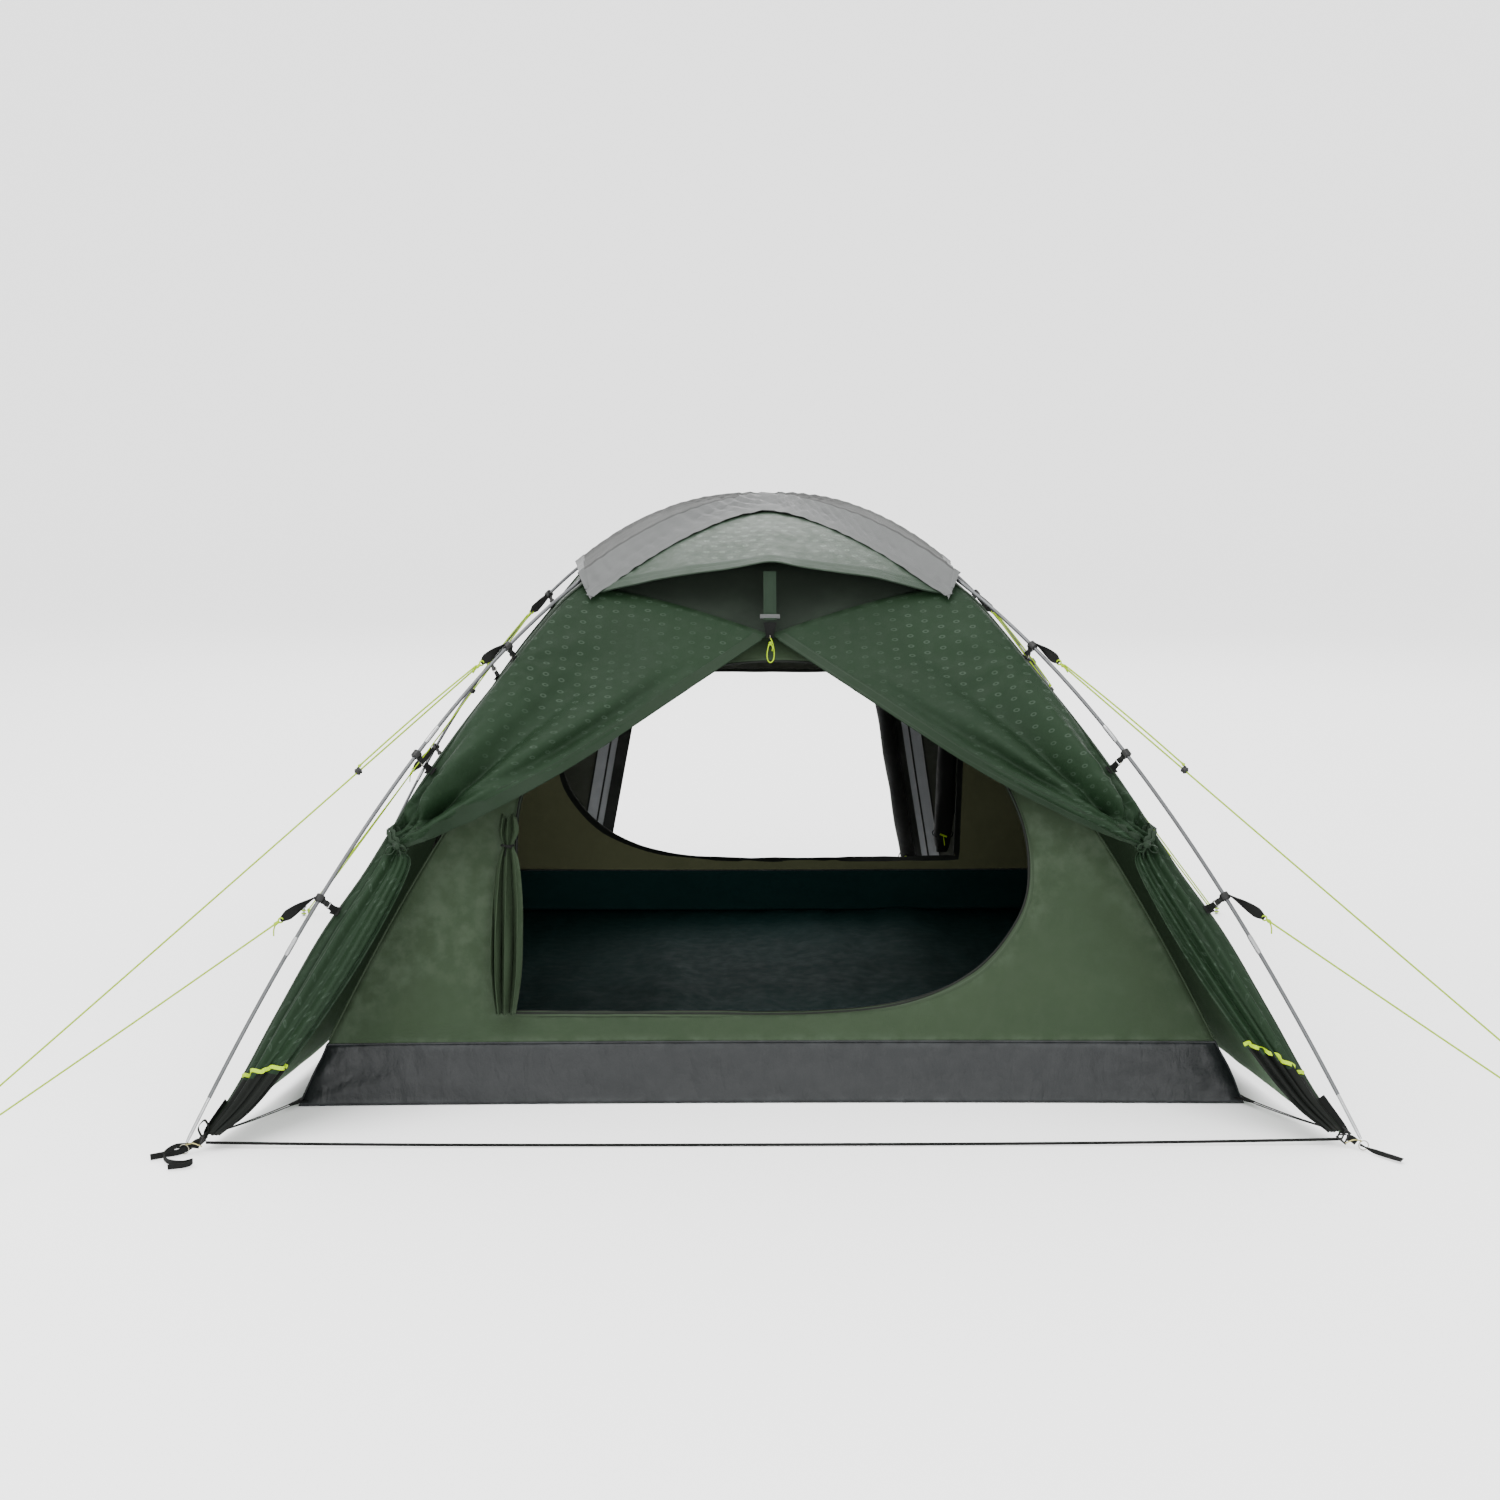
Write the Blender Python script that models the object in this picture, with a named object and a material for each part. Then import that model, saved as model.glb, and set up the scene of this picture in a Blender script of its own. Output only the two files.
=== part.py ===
"""Crossed-pole dome tent with outside poles, tied-back doors and guylines.

Frame: metres, +Z up, origin on the ground at the centre of the footprint.
The front door faces -Y and +X is to the right when facing that door.
"""
import math

import bmesh
import bpy
from mathutils import Matrix, Vector

# ---- driving dimensions -------------------------------------------------
FOOT_X = 1.235            # half width between pole feet
FOOT_Y = 1.240            # half length between pole feet
APEX_Z = 1.280            # height of the pole crossing
ARCH = 2.03               # power of the pole arch
POLE_R = 0.00425          # 8.5 mm pole
FERRULE_R = 0.0052
CROSS_LIFT = 0.0052       # half the height between the crossing poles
CLOTH = 0.003             # vertical thickness of the modelled cloth
SEAM = 0.0010             # gap between neighbouring cloth pieces
CROWN_FRONT = 0.360       # how far down the front legs the crown reaches
CROWN_REAR = 0.415        # and down the rear legs
CLIP_AT = (0.485, 0.637, 0.79)
SLEEVE_BAND = 0.080       # crown cloth hanging in front of each pole
HOOD_LIFT = 0.065         # the propped hood's rise over the roof line
ZIP_TOP = Vector((0.0, -0.530, 1.005))
KNOT = Vector((-0.812, -0.872, 0.572))
INNER_X = 1.050
INNER_Y = 0.920
INNER_Z = 1.170
INNER_ARCH = 1.93
TUB_TOP = 0.130
INNER_BOW = 0.060         # the inner's sides curve in between their corners
SIDE_BOW = 0.185          # the fly's side hems curve in between their corners
PEG_FRONT = Vector((1.780, -1.520, 0.0))
PEG_REAR = Vector((1.363, 0.850, 0.0))
GUY_R = 0.0015

LEVELS = (0.385, 0.43, 0.485, 0.56, 0.637, 0.677, 0.715, 0.79, 0.86, 0.93, 0.965)
DROPS = (0.014, 0.030, 0.050, 0.065, 0.080, 0.090, 0.098, 0.085, 0.090, 0.085, 0.058)


def clear_scene():
    for item in list(bpy.data.objects):
        bpy.data.objects.remove(item, do_unlink=True)


# ---- materials ----------------------------------------------------------
def material(name, colour, roughness, metallic=0.0):
    mat = bpy.data.materials.new(name)
    mat.use_nodes = True
    shader = mat.node_tree.nodes["Principled BSDF"]
    shader.inputs["Base Color"].default_value = (*colour, 1.0)
    shader.inputs["Roughness"].default_value = roughness
    shader.inputs["Metallic"].default_value = metallic
    mat.diffuse_color = (*colour, 1.0)
    return mat


def new_object(name, mesh, mat, smooth=False):
    mesh.materials.append(mat)
    for poly in mesh.polygons:
        poly.use_smooth = smooth
    obj = bpy.data.objects.new(name, mesh)
    bpy.context.scene.collection.objects.link(obj)
    return obj


def mesh_object(name, verts, faces, mat, smooth=False):
    mesh = bpy.data.meshes.new(name)
    mesh.from_pydata([tuple(v) for v in verts], [], faces)
    mesh.update()
    work = bmesh.new()
    work.from_mesh(mesh)
    bmesh.ops.recalc_face_normals(work, faces=work.faces)
    if work.calc_volume(signed=True) < 0:
        bmesh.ops.reverse_faces(work, faces=work.faces)
    work.to_mesh(mesh)
    work.free()
    return new_object(name, mesh, mat, smooth)


# ---- shapes of the tent --------------------------------------------------
def lerp(a, b, t):
    return a + (b - a) * t


def interp(x, xs, ys):
    if x <= xs[0]:
        return ys[0]
    for x0, x1, y0, y1 in zip(xs, xs[1:], ys, ys[1:]):
        if x <= x1:
            return lerp(y0, y1, (x - x0) / (x1 - x0))
    return ys[-1]


def arch_z(r):
    return APEX_Z * (1.0 - max(r, 0.0) ** ARCH)


def roof_z(x, y):
    return arch_z(max(abs(x) / FOOT_X, abs(y) / FOOT_Y))


def cross_lift(r, sx, sy):
    """The front-left to rear-right pole passes over the other one."""
    over = 1.0 if sx * sy > 0 else -1.0
    return over * CROSS_LIFT * max(0.0, 1.0 - r / 0.3)


def pole_point(sx, sy, r):
    return Vector((sx * FOOT_X * r, sy * FOOT_Y * r, arch_z(r) + cross_lift(r, sx, sy)))


def pole_direction(sx, sy, r):
    """Unit vector down the leg towards the foot."""
    return (pole_point(sx, sy, r + 0.01) - pole_point(sx, sy, r - 0.01)).normalized()


def drop(r):
    return interp(r, LEVELS, DROPS)


def fly_corner(sx, sy, r):
    return Vector((sx * FOOT_X * r, sy * FOOT_Y * r, arch_z(r) - drop(r)))


def inner_corner(sx, sy, rho):
    z = INNER_Z * (1.0 - rho ** INNER_ARCH)
    return Vector((sx * INNER_X * rho, sy * INNER_Y * rho ** 0.65, z))


def inner_rho(z):
    return (1.0 - z / INNER_Z) ** (1.0 / INNER_ARCH)


# ---- builders -------------------------------------------------------------
def sheet(name, grid, mat, ring=False, offset=(0.0, 0.0, -CLOTH)):
    """A closed thin solid under a grid of points, with fixed diagonals."""
    rows, cols = len(grid), len(grid[0])
    shift = Vector(offset)
    top = [Vector(p) for row in grid for p in row]
    verts = top + [p + shift for p in top]
    base = len(top)
    faces = []
    span = cols if ring else cols - 1
    for i in range(rows - 1):
        for j in range(span):
            k = (j + 1) % cols
            a, b = i * cols + j, i * cols + k
            c, d = (i + 1) * cols + k, (i + 1) * cols + j
            faces += [(a, b, c), (a, c, d)]
            faces += [(base + a, base + c, base + b), (base + a, base + d, base + c)]
    edges = []
    for j in range(span):
        k = (j + 1) % cols
        edges.append((j, k))
        edges.append(((rows - 1) * cols + k, (rows - 1) * cols + j))
    if not ring:
        for i in range(rows - 1):
            edges.append(((i + 1) * cols, i * cols))
            edges.append((i * cols + cols - 1, (i + 1) * cols + cols - 1))
    for a, b in edges:
        faces += [(b, a, base + a), (b, base + a, base + b)]
    return mesh_object(name, verts, faces, mat, smooth=False)


def frame_along(points, i, side):
    ahead = points[min(i + 1, len(points) - 1)] - points[max(i - 1, 0)]
    ahead.normalize()
    across = side - ahead * side.dot(ahead)
    across.normalize()
    return ahead, across, ahead.cross(across)


def tube(name, points, radii, mat, sides=8, side=Vector((0.3, 0.2, 1.0))):
    """A round closed bar along a path with a radius at every point."""
    verts, faces = [], []
    for i, point in enumerate(points):
        _, across, up = frame_along(points, i, side)
        for k in range(sides):
            turn = 2 * math.pi * k / sides
            arm = across * math.cos(turn) + up * math.sin(turn)
            verts.append(point + arm * radii[i])
    for i in range(len(points) - 1):
        for k in range(sides):
            n = (k + 1) % sides
            a, b = i * sides + k, i * sides + n
            faces.append((a, b, b + sides, a + sides))
    faces.append(tuple(reversed(range(sides))))
    faces.append(tuple((len(points) - 1) * sides + k for k in range(sides)))
    return mesh_object(name, verts, faces, mat, smooth=True)


def ribbon(name, points, width_axis, width, thick, mat):
    """A flat closed strap along a path; width_axis lies across the strap.

    Axis and width may each be one value or one value per point.
    """
    count = len(points)
    axes = list(width_axis) if isinstance(width_axis, tuple) else [width_axis] * count
    widths = list(width) if isinstance(width, tuple) else [width] * count
    verts, faces = [], []
    for i, point in enumerate(points):
        _, across, up = frame_along(points, i, axes[i])
        for a, b in ((-1, -1), (1, -1), (1, 1), (-1, 1)):
            verts.append(point + across * (a * widths[i] / 2) + up * (b * thick / 2))
    for i in range(len(points) - 1):
        for k in range(4):
            n = (k + 1) % 4
            faces.append((4 * i + k, 4 * i + n, 4 * i + 4 + n, 4 * i + 4 + k))
    last = 4 * (len(points) - 1)
    faces.append((3, 2, 1, 0))
    faces.append((last, last + 1, last + 2, last + 3))
    return mesh_object(name, verts, faces, mat)


def ring_solid(name, centre, axis, inner_r, outer_r, half, mat, sides=16):
    """A short tube: four rounded-off corners in section, with a clear bore."""
    axis = axis.normalized()
    side = axis.orthogonal().normalized()
    up = axis.cross(side)
    edge = min(half, (outer_r - inner_r) / 2) * 0.5
    section = [(inner_r, -half + edge), (inner_r + edge, -half), (outer_r - edge, -half),
               (outer_r, -half + edge), (outer_r, half - edge), (outer_r - edge, half),
               (inner_r + edge, half), (inner_r, half - edge)]
    verts, faces = [], []
    for k in range(sides):
        turn = 2 * math.pi * k / sides
        arm = side * math.cos(turn) + up * math.sin(turn)
        verts += [centre + arm * r + axis * h for r, h in section]
    n = len(section)
    for k in range(sides):
        a, b = k * n, ((k + 1) % sides) * n
        for s in range(n):
            t = (s + 1) % n
            faces.append((a + s, a + t, b + t, b + s))
    return mesh_object(name, verts, faces, mat, smooth=True)


def join_solids(name, parts):
    """Boolean union of overlapping closed solids into one named body."""
    first = parts[0]
    for other in parts[1:]:
        mod = first.modifiers.new("join", "BOOLEAN")
        mod.operation = "UNION"
        mod.solver = "EXACT"
        mod.object = other
    graph = bpy.context.evaluated_depsgraph_get()
    mesh = bpy.data.meshes.new_from_object(first.evaluated_get(graph))
    mat = first.data.materials[0]
    for item in parts:
        bpy.data.objects.remove(item, do_unlink=True)
    mesh.materials.clear()
    work = bmesh.new()
    work.from_mesh(mesh)
    bmesh.ops.remove_doubles(work, verts=work.verts, dist=0.00001)
    bmesh.ops.triangulate(work, faces=work.faces)
    work.to_mesh(mesh)
    work.free()
    return new_object(name, mesh, mat)


# ---- poles ------------------------------------------------------------------
SIDES = {"front_left": (-1, -1), "front_right": (1, -1), "rear_left": (-1, 1), "rear_right": (1, 1)}
JOINT_R = 0.335           # pole sections meet just inside the sleeve mouths


def build_poles(mat_pole):
    marks = (JOINT_R, 0.36, 0.385, 0.415, 0.43, 0.485, 0.55, 0.598, 0.602, 0.622, 0.626, 0.66, 0.715, 0.79,
             0.822, 0.826, 0.842, 0.846, 0.90, 0.955, 0.959, 0.982, 0.990)
    for place, (sx, sy) in SIDES.items():
        radii = []
        for r in marks:
            bright = 0.601 < r < 0.623 or 0.825 < r < 0.843
            tip = r > 0.957
            radii.append(FERRULE_R if bright else 0.0036 if tip else POLE_R)
        points = [pole_point(sx, sy, r) for r in marks]
        tube("pole_leg_" + place, points, radii, mat_pole)
    levels = (0.3340, 0.30, 0.22, 0.14, 0.06, 0.0)
    for name, sx in (("pole_arch_over", -1), ("pole_arch_under", 1)):
        front = [pole_point(sx, -1, r) for r in levels]
        rear = [pole_point(-sx, 1, r) for r in reversed(levels[:-1])]
        points = front + rear
        tube(name, points, [POLE_R] * len(points), mat_pole)


def build_ring_pins(mat):
    """Ring with a bent pin that goes into the pole tip at each foot."""
    for place, (sx, sy) in SIDES.items():
        tip = pole_point(sx, sy, 0.990)
        out = Vector((sx, 0.25 * sy, 0.0)).normalized()
        centre = Vector((tip.x + out.x * 0.006, tip.y + out.y * 0.006, 0.0125))
        axis = Vector((0.0, 1.0, 0.0))
        ring = ring_solid("ring", centre, axis, 0.0090, 0.0112, 0.0011, mat, 16)
        top = centre + Vector((-sx * 0.004, 0, 0.0093))
        path = [top, top + Vector((-sx * 0.016, 0, 0.003)), top + Vector((-sx * 0.034, 0, -0.004))]
        pin = tube("pin", path, [0.0013] * 3, mat, 8)
        join_solids("ring_pin_" + place, [ring, pin])


# ---- clips -------------------------------------------------------------------
def build_clips(mat):
    """A hook round the pole, with webbing in to the fly and out to a guyline."""
    for place, (sx, sy) in SIDES.items():
        for number, r in enumerate(CLIP_AT, 1):
            centre = pole_point(sx, sy, r)
            along = pole_direction(sx, sy, r)
            side = Vector((sx * FOOT_Y, -sy * FOOT_X, 0.0)).normalized()
            inward = along.cross(side).normalized()
            if inward.z > 0:
                inward = -inward
            ball = POLE_R + 0.0026
            path = []
            for k in range(11):
                turn = math.radians(-150 + 300 * k / 10)
                arm = -inward * math.cos(turn) + side * math.sin(turn)
                path.append(centre + arm * ball)
            reach = drop(r) * abs(inward.z) - 0.0065
            foot = centre + inward * reach
            path += [centre + inward * (ball + 0.010) + side * 0.001, foot]
            hook = ribbon("hook", path, along, 0.016, 0.0032, mat)
            name = "pole_clip_%s_%d" % (place, number)
            if number == 2:
                hook.name = name
                hook.data.name = name
                continue
            end = guy_start(sx, sy, number)
            away = end - centre
            off = (away - along * away.dot(along)).normalized()
            start = centre + off * (ball + 0.0006)
            side_on = along.cross(off)
            face_on = away.cross(Vector((0, 1, 0))).normalized()
            if face_on.dot(side_on) < 0:
                face_on = -face_on
            out = ribbon("out", [start, lerp(start, end, 0.35) + off * 0.006, end],
                         (side_on, lerp(side_on, face_on, 0.6), face_on),
                         (0.012, 0.015, 0.018), 0.0026, mat)
            join_solids(name, [hook, out])


def guy_start(sx, sy, number):
    """Outer end of the webbing that a guyline is tied to."""
    peg = peg_place(sx, sy)
    clip = pole_point(sx, sy, CLIP_AT[number - 1])
    if number == 1:
        away = (peg - clip).normalized()
        return clip + away * 0.085 + Vector((0, 0, 0.014))
    away = (peg - clip).normalized()
    return clip + away * 0.088 + Vector((sx * 0.012, 0, 0.002))


def peg_place(sx, sy):
    peg = PEG_FRONT if sy < 0 else PEG_REAR
    return Vector((sx * peg.x, peg.y, 0.0))


# ---- outer tent -----------------------------------------------------------------
def build_crown(mat):
    """Roof panel over both poles, with a band folded down off each of them."""
    half = ((CROWN_FRONT, CROWN_REAR), (0.33, 0.365), (0.30, 0.30), (0.22, 0.22),
            (0.14, 0.14), (0.06, 0.06))
    columns = [(-1, f, b) for f, b in half] + [(0, 0.01, 0.01)]
    columns += [(1, f, b) for f, b in reversed(half)]
    grid = []
    for side, front, back in columns:
        last = front == CROWN_FRONT
        band = 0.060 if last else SLEEVE_BAND
        tuck = 0.030 if last else 0.0
        row = []
        for t in (-0.1, 0.0, 0.28, 0.5, 0.72, 1.0, 1.1):
            s = min(max(t, 0.0), 1.0)
            x = side * FOOT_X * lerp(front, back, s)
            y = lerp(-FOOT_Y * front, FOOT_Y * back, s)
            if t != s:
                y += band if t > 0.5 else -band
                x -= side * tuck
            sag = 0.010 * 4 * s * (1 - s) * abs(x) / FOOT_X
            row.append(Vector((x, y, roof_z(x, y) + 0.0165 - sag)))
        grid.append(row)
    sheet("crown_roof", grid, mat)


def hood_grid(sy):
    levels = (0.09, 0.14, 0.22, 0.30, 0.385)
    grid = []
    for r in levels:
        reach = ((r - 0.09) / 0.295) ** 1.5
        half = FOOT_X * r - 0.060
        row = []
        for k in range(9):
            u = -1 + 2 * k / 8
            arch = (1 - u * u) ** 1.5
            y = FOOT_Y * r + 0.043 * reach * arch
            z = arch_z(r) + 0.0020 + HOOD_LIFT * reach * arch
            row.append(Vector((u * half, sy * y, z)))
        grid.append(row)
    return grid


def door_head(sx, w):
    """Point on the upper edge of a door half, from the pole (0) to the zip (1)."""
    corner = fly_corner(sx, -1, 0.350) + Vector((-sx * SEAM, -SEAM, 0))
    zip_end = Vector((sx * 0.002, ZIP_TOP.y, ZIP_TOP.z))
    point = lerp(corner, zip_end, w)
    return point + Vector((0, -0.004, 0.010)) * math.sin(math.pi * w)


def build_vent_mesh(mat):
    grid = []
    for r in (0.28, 0.32):
        half = FOOT_X * r - 0.014
        grid.append([Vector((-half + 2 * half * k / 8, -FOOT_Y * r, arch_z(r) - 0.014))
                     for k in range(9)])
    last = []
    for k in range(9):
        u = -1 + k / 4
        side = -1 if u < 0 else 1
        point = door_head(side, 1 - abs(u) * 0.97)
        last.append(Vector((point.x, point.y - 0.004, point.z - 0.011)))
    grid.append(last)
    sheet("vent_mesh_front", grid, mat)


def build_side_panel(name, sx, mat):
    levels = (0.345, 0.385) + LEVELS[1:]
    grid = []
    for r in levels:
        bow = SIDE_BOW * max(0.0, (r - 0.35) / 0.65) ** 1.3
        row = []
        for k in range(7):
            s = -1 + k / 3
            y = s * (FOOT_Y * r - SEAM - 0.0006)
            x = sx * (FOOT_X * r - bow * (1 - s * s))
            row.append(Vector((x, y, arch_z(r) - drop(r))))
        grid.append(row)
    sheet(name, grid, mat)


DOOR_EDGE = ((-0.145, -0.602, 0.918), (-0.290, -0.682, 0.831), (-0.431, -0.745, 0.745),
             (-0.560, -0.797, 0.678), (-0.700, -0.842, 0.613))
TIED_WIDTH = (0.085, 0.112, 0.098, 0.062, 0.030)


def build_front_door(name, sx, mat):
    """Half of the front door: its free edge is gathered into the tie."""
    levels = (0.350, 0.43, 0.50, 0.555, 0.605, 0.645, 0.677, 0.715, 0.79, 0.86, 0.93, 0.965)
    loose = 1.06 if sx < 0 else 1.0      # the left door is tied a little looser
    free = [Vector((0.002, ZIP_TOP.y, ZIP_TOP.z))]
    free += [Vector((-x, y, z)) for x, y, z in DOOR_EDGE]
    free.append(Vector((-KNOT.x, KNOT.y, KNOT.z)))
    for r, tied in zip(levels[7:], TIED_WIDTH):
        corner = fly_corner(1, -1, r)
        width = tied * loose
        free.append(Vector((corner.x - width, corner.y - 0.10 * width, corner.z)))
    grid = []
    for i, r in enumerate(levels):
        corner = fly_corner(1, -1, r) + Vector((-SEAM, -SEAM, 0.0))
        edge = free[i]
        row = []
        for k in range(9):
            w = k / 8
            point = lerp(corner, edge, w)
            if i == 0:
                head = door_head(1, w)
                point = Vector((head.x, head.y, head.z))
            elif i < 6:
                swell = 0.022 * loose * math.sin(math.pi * w) * (1 - abs(i - 3) / 6)
                point += Vector((0, -swell, swell * 0.7))
            elif i > 6:
                fold = 0.022 * math.sin(math.pi * w) * math.sin(math.pi * (i - 6) / 6)
                point += Vector((0, -fold, fold * 0.5))
            row.append(Vector((sx * point.x, point.y, point.z)))
        grid.append(row)
    sheet(name, grid, mat, offset=(0.0, 0.0016, -0.0025))


def loop_panel(name, hole, outer, surface, mat, rings=3):
    """Panel between a hole loop and an outer loop drawn in front view."""
    grid = []
    for i in range(rings + 1):
        t = i / rings
        grid.append([surface(lerp(h[0], o[0], t), lerp(h[1], o[1], t))
                     for h, o in zip(hole, outer)])
    sheet(name, grid, mat, ring=True)


def resample(points, count):
    """Even points along a closed loop, starting at its first point."""
    loop = [Vector(p) for p in points] + [Vector(points[0])]
    lengths = [(b - a).length for a, b in zip(loop, loop[1:])]
    total = sum(lengths)
    result = []
    for k in range(count):
        want = total * k / count
        for (a, b), size in zip(zip(loop, loop[1:]), lengths):
            if want <= size:
                result.append(a + (b - a) * (want / size))
                break
            want -= size
    return result


def build_rear_wall(mat):
    """Rear of the fly: one panel round the open rear doorway, open at the hem."""
    levels = (0.30, 0.385, 0.43, 0.485, 0.56, 0.605, 0.637, 0.715, 0.79, 0.86, 0.93, 0.965)
    top_row = 5
    parts = []
    for sx in (-1, 1):
        grid = []
        for i, r in enumerate(levels):
            fall = drop(r) if r > 0.32 else 0.014
            z = arch_z(r) - fall
            outer = FOOT_X * r - SEAM
            y = FOOT_Y * r + SEAM
            if i < top_row:
                inner = 0.0
            else:
                inner = interp(z, (0.03, 0.72), (0.485, 0.350))
            row = []
            for k in range(6):
                w = k / 5
                swell = 0.012 * math.sin(math.pi * w) if 0 < i < 11 else 0.0
                row.append(Vector((sx * lerp(outer, inner, w), y + swell, z)))
            grid.append(row)
        parts.append(grid)
    left, right = parts
    verts, faces = [], []
    index = {}

    def vert(point, low):
        p = Vector(point) + (Vector((0, 0, -CLOTH)) if low else Vector((0, 0, 0)))
        key = (round(p.x, 6), round(p.y, 6), round(p.z, 6))
        if key not in index:
            index[key] = len(verts)
            verts.append(p)
        return index[key]

    cells = []
    for grid in (left, right):
        for i in range(len(grid) - 1):
            for k in range(5):
                quad = [grid[i][k], grid[i][k + 1], grid[i + 1][k + 1], grid[i + 1][k]]
                if i == top_row - 1 and k == 4:
                    corner = quad[2]
                cells.append([quad[0], quad[1], quad[2]])
                cells.append([quad[0], quad[2], quad[3]])
    lintel_l = left[top_row][5]
    lintel_r = right[top_row][5]
    middle = left[top_row - 1][5]
    cells.append([lintel_l, middle, lintel_r])
    used = {}
    for tri in cells:
        ids = [vert(p, False) for p in tri]
        low = [vert(p, True) for p in tri]
        faces.append(tuple(ids))
        faces.append(tuple(reversed(low)))
        for a, b in ((0, 1), (1, 2), (2, 0)):
            key = tuple(sorted((ids[a], ids[b])))
            used.setdefault(key, []).append((ids[a], ids[b], low[a], low[b]))
    for key, items in used.items():
        if len(items) == 1:
            a, b, c, d = items[0]
            faces += [(b, a, c), (b, c, d)]
    mesh_object("fly_rear_wall", verts, faces, mat)


def build_door_roll(mat):
    """The rear door rolled up along the right edge of the rear doorway."""
    path, radii = [], []
    for k, z in enumerate((0.74, 0.71, 0.60, 0.48, 0.36, 0.24, 0.13, 0.09)):
        r = ((APEX_Z - z - 0.085) / APEX_Z) ** (1 / ARCH)
        x = interp(z, (0.03, 0.72), (0.485, 0.350)) - 0.012
        path.append(Vector((x, FOOT_Y * r - 0.055, z)))
        radii.append(0.012 if k in (0, 7) else 0.024 + 0.002 * (k % 2))
    tube("fly_rear_door_roll", path, radii, mat, 10)


def build_strut(name, sy, mat):
    """Stiff strap that props the hood off the vent."""
    if sy < 0:
        top = Vector((0, -0.508, 1.148))
        low = Vector((0, -0.548, 1.040))
    else:
        top = Vector((0, 0.508, 1.148))
        low = Vector((0, 0.548, 1.050))
    parts = [ribbon("strap", [top, lerp(top, low, 0.5), low], Vector((1, 0, 0)), 0.030, 0.003, mat)]
    bar = lerp(top, low, 0.93)
    parts.append(ribbon("bar", [bar + Vector((-0.023, 0, 0)), bar + Vector((0.023, 0, 0))],
                        Vector((0, 0, 1)), 0.010, 0.006, mat))
    join_solids(name, parts)


# ---- inner tent ---------------------------------------------------------------------
def build_tub(mat):
    """Groundsheet tray with short leaning walls."""
    def outline(x_half, y_half, bow):
        points = []
        for sx, sy, ex, ey in ((-1, -1, 1, -1), (1, -1, 1, 1), (1, 1, -1, 1), (-1, 1, -1, -1)):
            for k in range(6):
                t = k / 6
                x, y = lerp(sx, ex, t) * x_half, lerp(sy, ey, t) * y_half
                pull = bow * 4 * t * (1 - t)
                if sy == ey:
                    y -= sy * pull * 0.25
                else:
                    x -= sx * pull
                points.append((x, y))
        return points
    low = outline(INNER_X, INNER_Y, INNER_BOW)
    rho = inner_rho(TUB_TOP)
    edge = inner_corner(1, 1, rho)
    high = outline(edge.x, edge.y, INNER_BOW)
    wall = 0.003
    low_in = outline(INNER_X - wall, INNER_Y - wall, INNER_BOW)
    high_in = outline(edge.x - wall, edge.y - wall, INNER_BOW)
    n = len(low)
    verts = [(x, y, 0.0) for x, y in low] + [(x, y, TUB_TOP) for x, y in high]
    verts += [(x, y, TUB_TOP) for x, y in high_in] + [(x, y, wall) for x, y in low_in]
    faces = [tuple(reversed(range(n)))]
    for level in range(3):
        for k in range(n):
            a, b = level * n + k, level * n + (k + 1) % n
            faces.append((a, b, b + n, a + n))
    faces.append(tuple(3 * n + k for k in range(n)))
    mesh_object("groundsheet_tub", verts, faces, mat)


D_DOOR = ((-0.575, 0.600), (-0.575, 0.330), (-0.575, 0.195), (-0.400, 0.193), (-0.150, 0.192),
          (0.100, 0.193), (0.300, 0.215), (0.450, 0.280), (0.545, 0.380), (0.580, 0.480),
          (0.565, 0.610), (0.490, 0.745), (0.360, 0.860), (0.180, 0.925), (-0.020, 0.940),
          (-0.250, 0.905), (-0.430, 0.810), (-0.540, 0.700))


def build_inner_wall(name, sy, mirror, sill, mat):
    """End wall of the inner tent with a D-shaped doorway."""
    hole = []
    for x, z in D_DOOR:
        z = sill + (z - 0.192) * (0.940 - sill) / (0.940 - 0.192)
        hole.append((x * mirror, z, 0))
    outer = [(-1, 0.60), (-1, 0.33), (-1, TUB_TOP + 0.0035), (-0.60, TUB_TOP + 0.0035),
             (-0.25, TUB_TOP + 0.0035), (0.12, TUB_TOP + 0.0035), (0.50, TUB_TOP + 0.0035),
             (1, TUB_TOP + 0.0035), (1, 0.29), (1, 0.45), (1, 0.62), (1, 0.80), (1, 0.99),
             (1, 1.12), (0, 1.155), (-1, 1.08), (-1, 0.93), (-1, 0.77)]
    rim = []
    for side, z in outer:
        corner = inner_corner(1, 1, inner_rho(z)).x - SEAM
        x = side * corner if abs(side) == 1 else side
        rim.append((x * mirror, z, 0))

    def surface(x, z):
        rho = inner_rho(min(z, INNER_Z - 0.002))
        corner = inner_corner(1, 1, rho)
        bow = 0.015 * max(0.0, 1 - (x / max(corner.x, 0.05)) ** 2) * min(1.0, rho * 1.3)
        return Vector((x, sy * (corner.y + SEAM - bow), z))
    loop_panel(name, hole, rim, surface, mat)


def build_inner_side(name, sx, mat):
    levels = (0.9365, 0.88, 0.80, 0.70, 0.58, 0.45, 0.32, 0.20, 0.09, 0.025)
    grid = []
    for rho in levels:
        corner = inner_corner(1, 1, rho)
        row = []
        for k in range(7):
            s = -1 + k / 3
            x = corner.x - INNER_BOW * (1 - s * s) * rho ** 2
            row.append(Vector((sx * x, s * (corner.y - SEAM), corner.z)))
        grid.append(row)
    sheet(name, grid, mat)


def inner_front_y(z):
    return -inner_corner(1, 1, inner_rho(z)).y


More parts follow.
